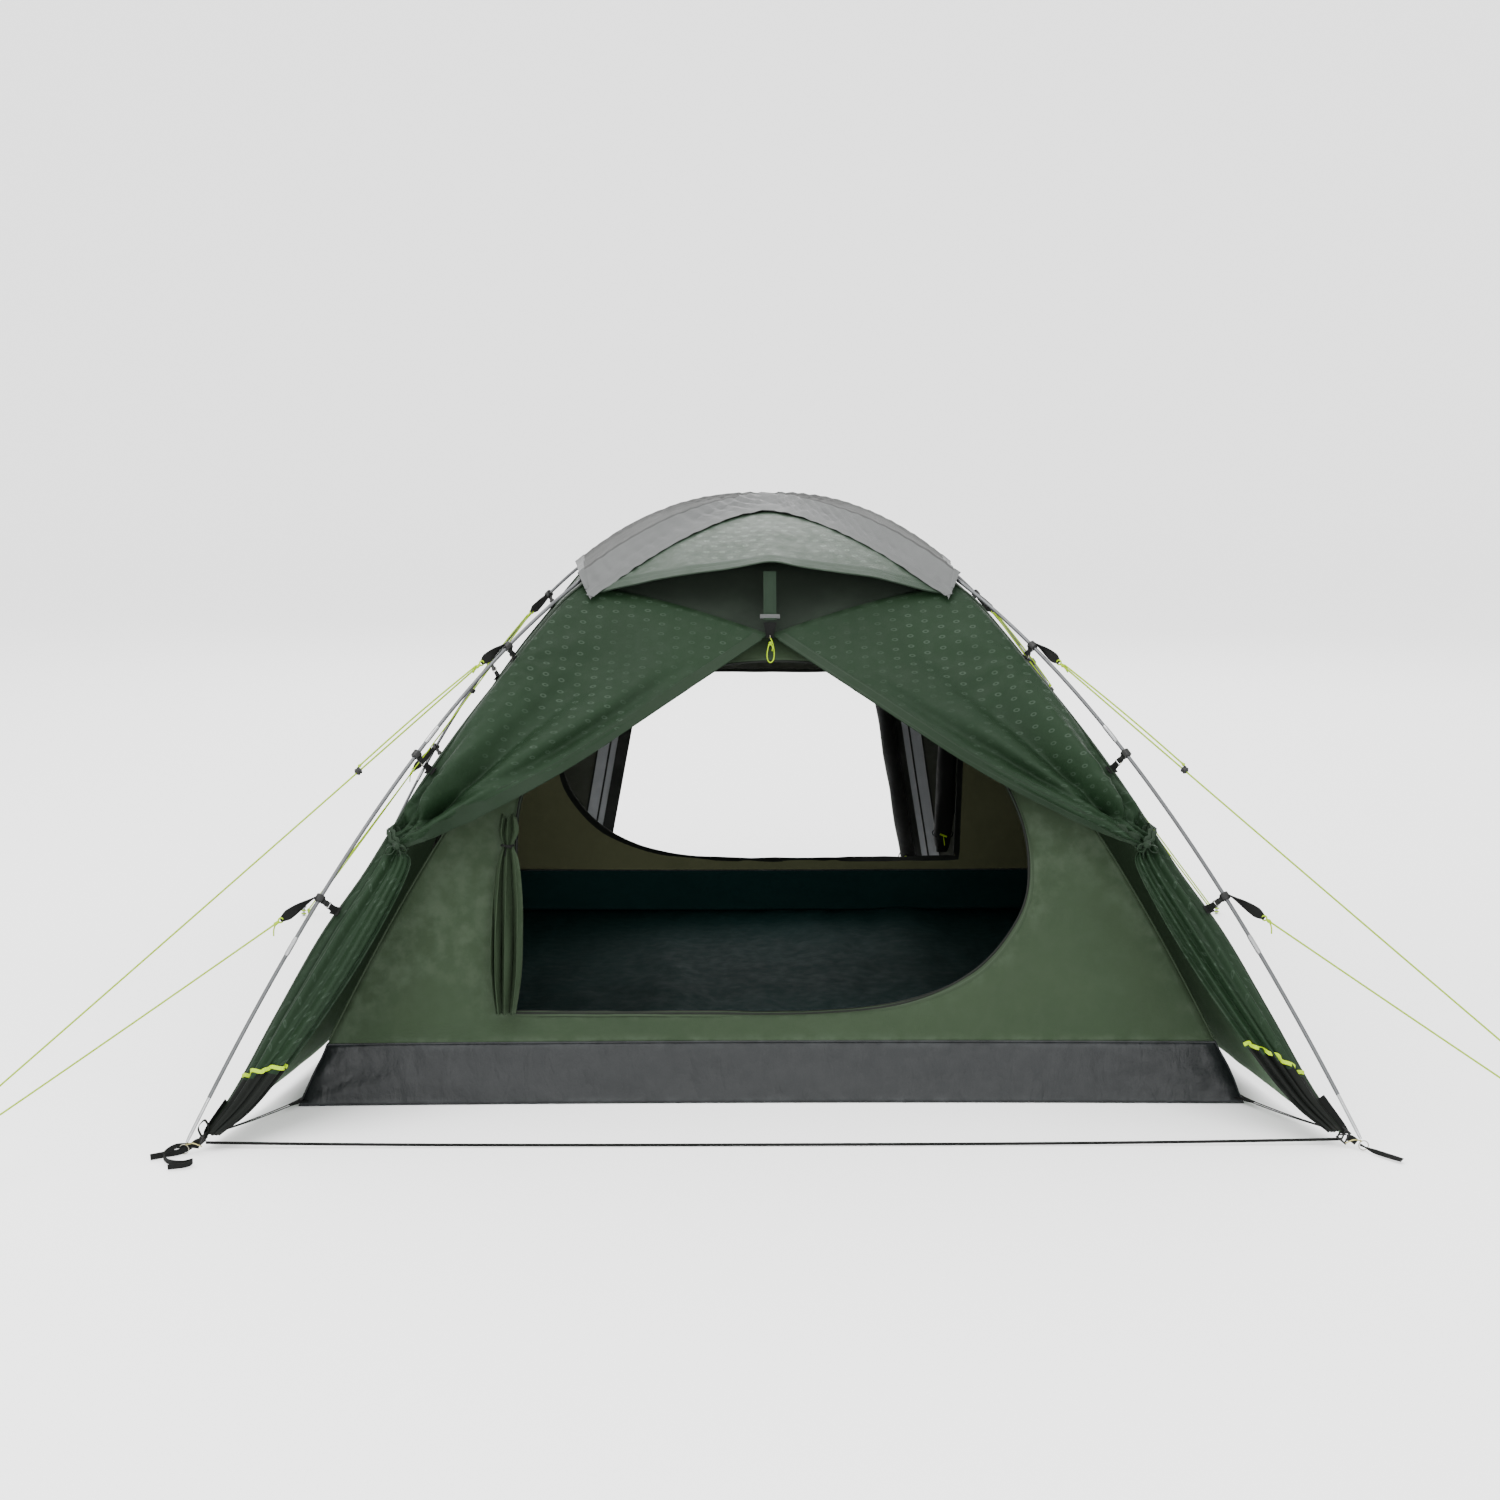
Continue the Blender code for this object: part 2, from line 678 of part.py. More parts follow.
def build_inner_flap(mat):
    """The inner door gathered and tied along its straight edge."""
    widths = ((0.62, 0.016), (0.585, 0.020), (0.56, 0.011), (0.535, 0.019), (0.47, 0.028),
              (0.38, 0.032), (0.28, 0.030), (0.205, 0.020))
    path = [Vector((-0.590, inner_front_y(z) - 0.040, z)) for z, _ in widths]
    tube("inner_front_door_tied", path, [w for _, w in widths], mat, 10)


def build_inner_roll(mat):
    zs = (0.70, 0.67, 0.58, 0.46, 0.34, 0.24, 0.20)
    path = [Vector((0.535 - 0.06 * (z - 0.4) ** 2, -inner_front_y(z) - 0.048, z)) for z in zs]
    radii = [0.012, 0.026, 0.030, 0.029, 0.030, 0.026, 0.014]
    tube("inner_rear_door_roll", path, radii, mat, 10)


# ---- guylines ----------------------------------------------------------------------------
def cord(name, points, mat):
    data = bpy.data.curves.new(name, "CURVE")
    data.dimensions = "3D"
    data.bevel_depth = GUY_R
    data.bevel_resolution = 2
    data.use_fill_caps = True
    line = data.splines.new("POLY")
    line.points.add(len(points) - 1)
    for item, point in zip(line.points, points):
        item.co = (*point, 1.0)
    data.materials.append(mat)
    obj = bpy.data.objects.new(name, data)
    bpy.context.scene.collection.objects.link(obj)
    return obj


RUNNER_AT = {-1: 0.225, 1: 0.250}


def guy_line(sx, sy, number):
    start = guy_start(sx, sy, number)
    peg = peg_place(sx, sy)
    back = Vector((start.x - peg.x, start.y - peg.y, 0.0)).normalized()
    end = peg + back * 0.0120 + Vector((0, 0, 0.015 if number == 1 else 0.006))
    away = (end - start).normalized()
    return start + away * 0.0035, end


def build_guylines(mat_cord, mat_plastic, mat_metal):
    for place, (sx, sy) in SIDES.items():
        for number, label in ((1, "upper"), (3, "lower")):
            start, end = guy_line(sx, sy, number)
            cord("guyline_%s_%s" % (label, place), [start, lerp(start, end, 0.5), end], mat_cord)
        start, end = guy_line(sx, sy, 1)
        spot = lerp(start, end, RUNNER_AT[sy])
        ring_solid("runner_" + place, spot, end - start, GUY_R + 0.0005, 0.0085, 0.006,
                   mat_plastic, 14)
        peg = peg_place(sx, sy)
        points = [peg + Vector((0, 0, z)) for z in (0.0, 0.024, 0.0245, 0.029, 0.0295)]
        tube("peg_" + place, points, [0.0040, 0.0040, 0.0085, 0.0085, 0.0070], mat_metal, 10,
             Vector((1, 0.1, 0)))


def build_zip_pull(mat):
    top = Vector((0.0, ZIP_TOP.y - 0.012, ZIP_TOP.z - 0.006))
    points = [top, top + Vector((0.006, -0.002, -0.020)), top + Vector((0.007, -0.003, -0.042)),
              top + Vector((0.001, -0.003, -0.062))]
    tube("zip_pull_cord", points, [0.0018, 0.0030, 0.0036, 0.0018], mat, 8, Vector((0, 1, 0.1)))


def build_base_strap(mat):
    tip = pole_point(1, -1, 0.975)
    x, y = tip.x - 0.012, tip.y + 0.020
    points = [Vector((-x, y, 0.012)), Vector((-x / 2, y, 0.006)), Vector((0, y, 0.0045)),
              Vector((x / 2, y, 0.006)), Vector((x, y, 0.012))]
    ribbon("base_strap_front", points, Vector((0, 0, 1)), 0.0080, 0.0020, mat)


def main():
    clear_scene()
    pole = material("pole", (0.42, 0.43, 0.44), 0.35, 0.9)
    steel = material("steel", (0.72, 0.70, 0.62), 0.25, 1.0)
    plastic = material("plastic", (0.02, 0.02, 0.02), 0.45)
    crown = material("crown_cloth", (0.32, 0.33, 0.33), 0.55)
    fly = material("fly_cloth", (0.055, 0.105, 0.065), 0.6)
    mesh = material("vent_mesh", (0.012, 0.016, 0.013), 0.8)
    black = material("black_cloth", (0.012, 0.013, 0.013), 0.75)
    inner = material("inner_cloth", (0.085, 0.135, 0.070), 0.8)
    tub = material("tub_cloth", (0.045, 0.052, 0.055), 0.5)
    neon = material("neon_cord", (0.55, 0.80, 0.02), 0.6)
    build_poles(pole)
    build_ring_pins(steel)
    build_clips(plastic)
    build_crown(crown)
    sheet("hood_front", hood_grid(-1), fly)
    sheet("hood_rear", hood_grid(1), fly)
    build_vent_mesh(mesh)
    build_side_panel("fly_side_left", -1, fly)
    build_side_panel("fly_side_right", 1, fly)
    build_front_door("fly_front_door_left", -1, fly)
    build_front_door("fly_front_door_right", 1, fly)
    build_rear_wall(fly)
    build_door_roll(black)
    build_strut("vent_strut_front", -1, fly)
    build_strut("vent_strut_rear", 1, fly)
    build_tub(tub)
    build_inner_wall("inner_front_wall", -1, 1, 0.192, inner)
    build_inner_wall("inner_rear_wall", 1, -1, 0.168, inner)
    build_inner_side("inner_side_left", -1, inner)
    build_inner_side("inner_side_right", 1, inner)
    build_inner_flap(inner)
    build_inner_roll(black)
    build_guylines(neon, plastic, steel)
    build_zip_pull(neon)
    build_base_strap(plastic)


main()
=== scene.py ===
"""Looks of the crossed-pole dome tent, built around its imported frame.

Metres, +Z up. The front door faces -Y and +X is to the right when facing it.
"""
import math

import bpy
import numpy as np
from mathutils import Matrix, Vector, noise

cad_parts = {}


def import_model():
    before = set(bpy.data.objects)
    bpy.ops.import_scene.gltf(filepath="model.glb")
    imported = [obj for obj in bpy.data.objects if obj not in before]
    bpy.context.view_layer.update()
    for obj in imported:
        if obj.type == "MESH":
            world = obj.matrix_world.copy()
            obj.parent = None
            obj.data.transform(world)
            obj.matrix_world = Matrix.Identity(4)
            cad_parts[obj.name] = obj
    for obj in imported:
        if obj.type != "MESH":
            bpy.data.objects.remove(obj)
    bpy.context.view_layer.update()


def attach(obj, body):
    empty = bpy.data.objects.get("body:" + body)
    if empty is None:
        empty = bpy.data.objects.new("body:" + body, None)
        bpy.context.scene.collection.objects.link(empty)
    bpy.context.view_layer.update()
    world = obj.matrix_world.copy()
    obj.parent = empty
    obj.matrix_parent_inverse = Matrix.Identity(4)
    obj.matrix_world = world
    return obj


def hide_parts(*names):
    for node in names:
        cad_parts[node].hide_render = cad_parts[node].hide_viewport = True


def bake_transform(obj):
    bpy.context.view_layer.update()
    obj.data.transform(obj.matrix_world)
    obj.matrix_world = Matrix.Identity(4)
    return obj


# ---- driving dimensions, the same as the frame's
FOOT_X = 1.235             # half the width and depth between the pole feet
FOOT_Y = 1.24
APEX_Z = 1.28
ARCH = 2.03                # exponent of the poles' arch
POLE_R = 0.00425
FERRULE_R = 0.0052
CROSS_LIFT = 0.0052        # each pole is bent this far from the other at the crossing
SEAM = 0.001
CROWN_FRONT = 0.36         # levels along the poles where the crown panel ends
CROWN_REAR = 0.415
SLEEVE_BAND = 0.08
HOOD_LIFT = 0.065
CLIP_AT = (0.485, 0.637, 0.79)      # levels of the clips along a pole
ZIP_TOP = Vector((0.0, -0.53, 1.005))
KNOT = Vector((-0.812, -0.872, 0.572))
INNER_X = 1.05
INNER_Y = 0.92
INNER_Z = 1.17
INNER_ARCH = 1.93
TUB_TOP = 0.13
INNER_BOW = 0.06
SIDE_BOW = 0.185
PEG_FRONT = Vector((1.78, -1.52, 0.0))
PEG_REAR = Vector((1.363, 0.85, 0.0))
GUY_R = 0.002              # guyline
HEM_R = 0.965              # level along a pole where the fly ends
KNOT_R = 0.677             # where the front doors are tied back
LINTEL_R = 0.605           # top of the rear doorway
TIP_R = 0.99               # end of a pole
VALANCE_R = 0.905          # below this the fly is black, with neon piping along the join
CLOTH = 0.001              # thickness of the cloth, as drawn
HEM_OFF = 0.0012           # a hem strip lies this far off the middle of the cloth
CENTRE = np.array((0.0, 0.0, 0.2))

# how far the fly hangs below the pole, by level: 0 at the crossing and 1 at the foot
LEVELS = (0.3, 0.345, 0.385, 0.43, 0.485, 0.56, 0.637, 0.677, 0.715, 0.79, 0.86, 0.93, 0.965)
DROPS = (0.014, 0.014, 0.014, 0.03, 0.05, 0.065, 0.08, 0.09, 0.098, 0.085, 0.09, 0.085, 0.058)

HANDS = (("left", -1), ("right", 1))
SIDES = {"front_left": (-1, -1), "front_right": (1, -1), "rear_left": (-1, 1), "rear_right": (1, 1)}


# ---- shapes
def lerp(a, b, t):
    return a + (b - a) * t


def vec(x, y, z):
    return Vector((x, y, z))


def smooth(xs, ys, x):
    """Smooth curve through a table, for one value or an array of them."""
    xs, ys = np.asarray(xs, float), np.asarray(ys, float)
    slopes = np.gradient(ys, xs, axis=0)
    x = np.clip(np.asarray(x, float), xs[0], xs[-1])
    k = np.clip(np.searchsorted(xs, x) - 1, 0, len(xs) - 2)
    span = xs[k + 1] - xs[k]
    t = (x - xs[k]) / span
    if ys.ndim > 1:
        t, span = t[..., None], span[..., None]
    h00, h10 = 2 * t ** 3 - 3 * t ** 2 + 1, t ** 3 - 2 * t ** 2 + t
    h01, h11 = 3 * t ** 2 - 2 * t ** 3, t ** 3 - t ** 2
    return h00 * ys[k] + h10 * span * slopes[k] + h01 * ys[k + 1] + h11 * span * slopes[k + 1]


def arch_z(r):
    return APEX_Z * (1.0 - np.abs(r) ** ARCH)


def roof_z(x, y):
    return arch_z(np.maximum(np.abs(x) / FOOT_X, np.abs(y) / FOOT_Y))


def drop(r):
    return smooth(LEVELS, DROPS, r)


def pole_point(sx, sy, r):
    over = 1.0 if sx * sy > 0 else -1.0
    lift = over * CROSS_LIFT * max(0.0, 1.0 - r / 0.3)
    return vec(sx * FOOT_X * r, sy * FOOT_Y * r, float(arch_z(r)) + lift)


def pole_direction(sx, sy, r):
    return (pole_point(sx, sy, r + 0.01) - pole_point(sx, sy, r - 0.01)).normalized()


def fly_corner(sx, sy, r):
    return vec(sx * FOOT_X * r, sy * FOOT_Y * r, float(arch_z(r) - drop(r)))


def inner_corner(sx, sy, rho):
    z = INNER_Z * (1.0 - rho ** INNER_ARCH)
    return vec(sx * INNER_X * rho, sy * INNER_Y * rho ** 0.65, z)


def inner_rho(z):
    return max(0.0, 1.0 - z / INNER_Z) ** (1.0 / INNER_ARCH)


def peg_place(sx, sy):
    peg = PEG_FRONT if sy < 0 else PEG_REAR
    return vec(sx * peg.x, peg.y, 0.0)


def guy_start(sx, sy, number):
    clip = pole_point(sx, sy, CLIP_AT[number - 1])
    away = (peg_place(sx, sy) - clip).normalized()
    if number == 1:
        return clip + away * 0.085 + vec(0, 0, 0.014)
    return clip + away * 0.088 + vec(sx * 0.012, 0, 0.002)


def guy_line(sx, sy, number):
    start = guy_start(sx, sy, number)
    peg = peg_place(sx, sy)
    back = vec(start.x - peg.x, start.y - peg.y, 0.0).normalized()
    end = peg + back * 0.012 + vec(0, 0, 0.015 if number == 1 else 0.006)
    away = (end - start).normalized()
    return start + away * 0.0035, end


# ---- materials
class Paint:
    """A Principled material that is built node by node."""

    def __init__(self, name, colour, roughness, metallic=0.0, **sockets):
        self.mat = bpy.data.materials.new(name)
        self.mat.use_nodes = True
        self.tree = self.mat.node_tree
        self.shader = self.tree.nodes["Principled BSDF"]
        self.shader.inputs["Base Color"].default_value = (*colour, 1.0)
        self.shader.inputs["Roughness"].default_value = roughness
        self.shader.inputs["Metallic"].default_value = metallic
        for key, value in sockets.items():
            self.shader.inputs[key.replace("_", " ")].default_value = value
        self.height = None

    def node(self, kind, **settings):
        made = self.tree.nodes.new(kind)
        for key, value in settings.items():
            setattr(made, key, value)
        return made

    def plug(self, value, socket):
        if isinstance(value, (int, float)):
            socket.default_value = value
        elif isinstance(value, tuple):
            socket.default_value = (*value, 1.0) if len(value) == 3 else value
        else:
            self.tree.links.new(value, socket)

    def math(self, operation, a, b=0.0):
        made = self.node("ShaderNodeMath", operation=operation)
        self.plug(a, made.inputs[0])
        self.plug(b, made.inputs[1])
        return made.outputs[0]

    def times(self, a, b):
        return self.math("MULTIPLY", a, b)

    def plus(self, a, b):
        return self.math("ADD", a, b)

    def less(self, a, b):
        return self.math("SUBTRACT", a, b)

    def parts(self, vector):
        made = self.node("ShaderNodeSeparateXYZ")
        self.plug(vector, made.inputs[0])
        return made.outputs

    def coordinates(self, which="Object"):
        return self.node("ShaderNodeTexCoord").outputs[which]

    def stretch(self, vector, scale, turn=0.0):
        made = self.node("ShaderNodeMapping")
        self.plug(vector, made.inputs["Vector"])
        made.inputs["Scale"].default_value = scale
        made.inputs["Rotation"].default_value = (0.0, 0.0, turn)
        return made.outputs[0]

    def noise(self, vector, scale, detail=3.0, rough=0.55, twist=0.0):
        made = self.node("ShaderNodeTexNoise")
        self.plug(vector, made.inputs["Vector"])
        made.inputs["Scale"].default_value = scale
        made.inputs["Detail"].default_value = detail
        made.inputs["Roughness"].default_value = rough
        made.inputs["Distortion"].default_value = twist
        return made.outputs[0]

    def span(self, value, low, high, to_low=0.0, to_high=1.0):
        made = self.node("ShaderNodeMapRange", interpolation_type="SMOOTHSTEP")
        for socket, item in zip(made.inputs, (value, low, high, to_low, to_high)):
            self.plug(item, socket)
        return made.outputs[0]

    def mix(self, factor, a, b):
        made = self.node("ShaderNodeMix", data_type="RGBA")
        self.plug(factor, made.inputs["Factor"])
        self.plug(a, [s for s in made.inputs if s.name == "A" and s.type == "RGBA"][0])
        self.plug(b, [s for s in made.inputs if s.name == "B" and s.type == "RGBA"][0])
        return [s for s in made.outputs if s.type == "RGBA"][0]

    def colour(self, socket):
        self.plug(socket, self.shader.inputs["Base Color"])

    def roughness(self, socket):
        self.plug(socket, self.shader.inputs["Roughness"])

    def bump(self, height, distance, strength=1.0):
        made = self.node("ShaderNodeBump")
        made.inputs["Distance"].default_value = distance
        made.inputs["Strength"].default_value = strength
        self.plug(height, made.inputs["Height"])
        if self.height is not None:
            self.plug(self.height, made.inputs["Normal"])
        self.height = made.outputs[0]
        self.plug(self.height, self.shader.inputs["Normal"])


def weave_bump(p, uv, pitch):
    """Plain weave: threads over and under at the given pitch."""
    parts = p.parts(uv)
    turn = 2 * math.pi / pitch
    across = p.math("SINE", p.times(parts[0], turn))
    along = p.math("SINE", p.times(parts[1], turn))
    p.bump(p.times(across, along), 0.00012, 0.5)
    return parts


def print_mask(p, parts):
    """Small plain ovals in staggered rows, 37 mm apart."""
    pitch_u, pitch_v = 0.037, 0.029
    row = p.math("DIVIDE", parts[1], pitch_v)
    odd = p.math("FLOORED_MODULO", p.math("FLOOR", row), 2.0)
    place = p.plus(p.math("DIVIDE", parts[0], pitch_u), p.times(odd, 0.5))
    x = p.less(p.math("FRACT", place), 0.5)
    y = p.less(p.math("FRACT", row), 0.5)
    x = p.times(x, pitch_u / 0.0062)
    y = p.times(y, pitch_v / 0.0042)
    far = p.math("SQRT", p.plus(p.times(x, x), p.times(y, y)))
    off = p.math("ABSOLUTE", p.less(far, 0.85))
    return p.span(off, 0.42, 0.18)


def cloth_paint(name, colour, pale, dark, rough, crease=0.0012, pitch=0.0009, marks=None,
                edge=None, spec=0.35):
    p = Paint(name, colour, rough, Specular_IOR_Level=spec)
    uv, place = p.coordinates("UV"), p.coordinates("Object")
    broad = p.noise(place, 2.3, 4.0)
    fine = p.noise(place, 34.0, 3.0)
    tint = p.mix(p.span(broad, 0.35, 0.68, 0.45, 1.0), dark, colour)
    tint = p.mix(p.times(p.span(fine, 0.52, 0.8), 0.18), tint, pale)
    crumple = p.noise(p.stretch(place, (1.0, 1.0, 0.45), 0.5), 17.0, 4.0, 0.5, 0.5)
    p.bump(crumple, crease * 6, 0.35)
    p.bump(p.noise(place, 85.0, 2.0), crease, 0.3)
    parts = weave_bump(p, uv, pitch)
    gloss = p.span(fine, 0.25, 0.8, rough - 0.07, rough + 0.08)
    if marks:
        mask = print_mask(p, parts)
        worn = p.times(mask, p.span(p.noise(place, 5.0, 3.0), 0.34, 0.64, 0.12, 1.0))
        tint = p.mix(p.times(worn, 0.6), tint, marks)
        gloss = p.less(gloss, p.times(worn, 0.12))
    if edge:
        hem = p.node("ShaderNodeAttribute", attribute_name="hem")
        near = p.span(hem.outputs["Fac"], 0.02, 0.0)
        patchy = p.times(near, p.span(p.noise(place, 22.0, 4.0), 0.38, 0.7))
        tint = p.mix(p.times(patchy, 0.5), tint, edge)
    p.colour(tint)
    p.roughness(gloss)
    return p.mat


def stitched_paint(name, colour, thread, rough, rows=(0.003, 0.019)):
    """Hem or binding with lines of lock stitch along it (UV v runs along)."""
    p = Paint(name, colour, rough, Specular_IOR_Level=0.15)
    uv, place = p.coordinates("UV"), p.coordinates("Object")
    parts = weave_bump(p, uv, 0.0011)
    dash = p.math("FRACT", p.math("DIVIDE", parts[1], 0.0042))
    dash = p.span(p.math("ABSOLUTE", p.less(dash, 0.5)), 0.42, 0.34)
    lines = None
    for row in rows:
        off = p.math("ABSOLUTE", p.less(parts[0], row))
        line = p.span(off, 0.0011, 0.0005)
        lines = line if lines is None else p.math("MAXIMUM", lines, line)
    stitch = p.times(dash, lines)
    worn = p.noise(place, 26.0, 3.0)
    tint = p.mix(p.times(p.span(worn, 0.45, 0.8), 0.4), colour, tuple(c * 1.25 for c in colour))
    p.colour(p.mix(p.times(stitch, 0.75), tint, thread))
    p.bump(p.less(p.times(stitch, 0.5), p.times(lines, 0.5)),
           0.0009, 0.7)
    p.roughness(p.span(worn, 0.3, 0.8, rough - 0.06, rough + 0.08))
    return p.mat


def webbing_paint(name, colour, rough=0.72):
    """Woven strap: ribs across, slanted into a chevron."""
    p = Paint(name, colour, rough, Specular_IOR_Level=0.1)
    uv, place = p.coordinates("UV"), p.coordinates("Object")
    parts = p.parts(uv)
    chevron = p.math("PINGPONG", parts[0], 0.004)
    slant = p.plus(parts[1], chevron)
    rib = p.math("SINE", p.times(slant, 2 * math.pi / 0.0016))
    p.bump(rib, 0.0003, 0.8)
    worn = p.noise(place, 60.0, 3.0)
    lit = p.span(rib, -0.6, 0.9, 0.0, 0.5)
    tint = p.mix(lit, colour, tuple(c * 1.8 + 0.001 for c in colour))
    p.colour(p.mix(p.times(p.span(worn, 0.55, 0.8), 0.4), tint, (0.022, 0.022, 0.02)))
    p.roughness(p.span(worn, 0.3, 0.8, rough - 0.08, rough + 0.1))
    return p.mat


def plastic_paint(name, colour, rough=0.42):
    p = Paint(name, colour, rough, Specular_IOR_Level=0.25)
    place = p.coordinates("Object")
    grain = p.noise(place, 900.0, 2.0)
    scuff = p.noise(p.stretch(place, (1.0, 1.0, 4.0)), 70.0, 4.0, 0.6, 0.4)
    p.bump(grain, 0.00012, 0.5)
    p.colour(p.mix(p.times(p.span(scuff, 0.56, 0.78), 0.5), colour, (0.03, 0.03, 0.029)))
    p.roughness(p.span(scuff, 0.35, 0.75, rough - 0.08, rough + 0.16))
    return p.mat


def metal_paint(name, colour, rough, tarnish, metallic=1.0, scratch=(0.38, 0.385, 0.39)):
    """Drawn metal: fine scratches along UV v and duller patches."""
    p = Paint(name, colour, rough, metallic)
    uv, place = p.coordinates("UV"), p.coordinates("Object")
    lines = p.noise(p.stretch(uv, (1.0, 0.012, 1.0)), 2600.0, 2.0)
    patch = p.noise(place, 31.0, 4.0, 0.6, 0.3)
    p.bump(lines, 0.00008, 0.6)
    tint = p.mix(p.times(p.span(patch, 0.48, 0.74), 0.5), colour, tarnish)
    p.colour(p.mix(p.times(p.span(lines, 0.5, 0.8), 0.25), tint, scratch))
    p.roughness(p.span(patch, 0.3, 0.75, rough - 0.06, rough + 0.17))
    return p.mat


def cord_paint(name, colour, fleck):
    """Braided cord: diamond-shaped strands, with a few tracer threads."""
    p = Paint(name, colour, 0.62, Specular_IOR_Level=0.15)
    uv = p.coordinates("UV")
    parts = p.parts(uv)
    u = p.times(parts[0], 2 * math.pi / 0.0031)
    v = p.times(parts[1], 2 * math.pi / 0.0036)
    strands = p.times(p.math("SINE", p.plus(u, v)),
                     p.math("SINE", p.less(u, v)))
    p.bump(strands, 0.0005, 0.8)
    tracer = p.span(p.math("SINE", p.plus(u, p.times(v, 0.25))), 0.9, 0.99)
    # painted shade: the grooves between the strands are darkened
    tint = p.mix(p.span(strands, -0.7, 0.6, 0.45, 0.0), colour, tuple(c * 0.45 for c in colour))
    p.colour(p.mix(p.times(tracer, 0.5), tint, fleck))
    p.roughness(p.span(strands, -1.0, 1.0, 0.72, 0.54))
    return p.mat


def net_paint(name, colour):
    """Fine net: hexagon-like holes drawn as pits, painted near-black as the shade seen through them,
    between paler threads.
    """
    p = Paint(name, colour, 0.8, Specular_IOR_Level=0.2)
    uv, place = p.coordinates("UV"), p.coordinates("Object")
    parts = p.parts(uv)
    turn = 2 * math.pi / 0.0021
    a = p.math("SINE", p.times(parts[0], turn))
    b = p.math("SINE", p.times(parts[1], turn))
    hole = p.span(p.times(a, b), -0.1, 0.5)
    p.bump(p.less(1.0, hole), 0.0005, 0.7)
    # painted shade: the holes are filled with near-black
    tint = p.mix(p.times(hole, 0.85), colour, (0.002, 0.003, 0.002))
    p.colour(p.mix(p.times(p.span(p.noise(place, 12.0, 3.0), 0.45, 0.75), 0.3),
                   tint, (0.016, 0.024, 0.016)))
    return p.mat


FLY = (0.0062, 0.017, 0.0068)
FLY_PALE = (0.0105, 0.0235, 0.0112)
FLY_DARK = (0.0048, 0.0122, 0.0052)
MARK = (0.026, 0.042, 0.028)
NEON = (0.3, 0.46, 0.0004)


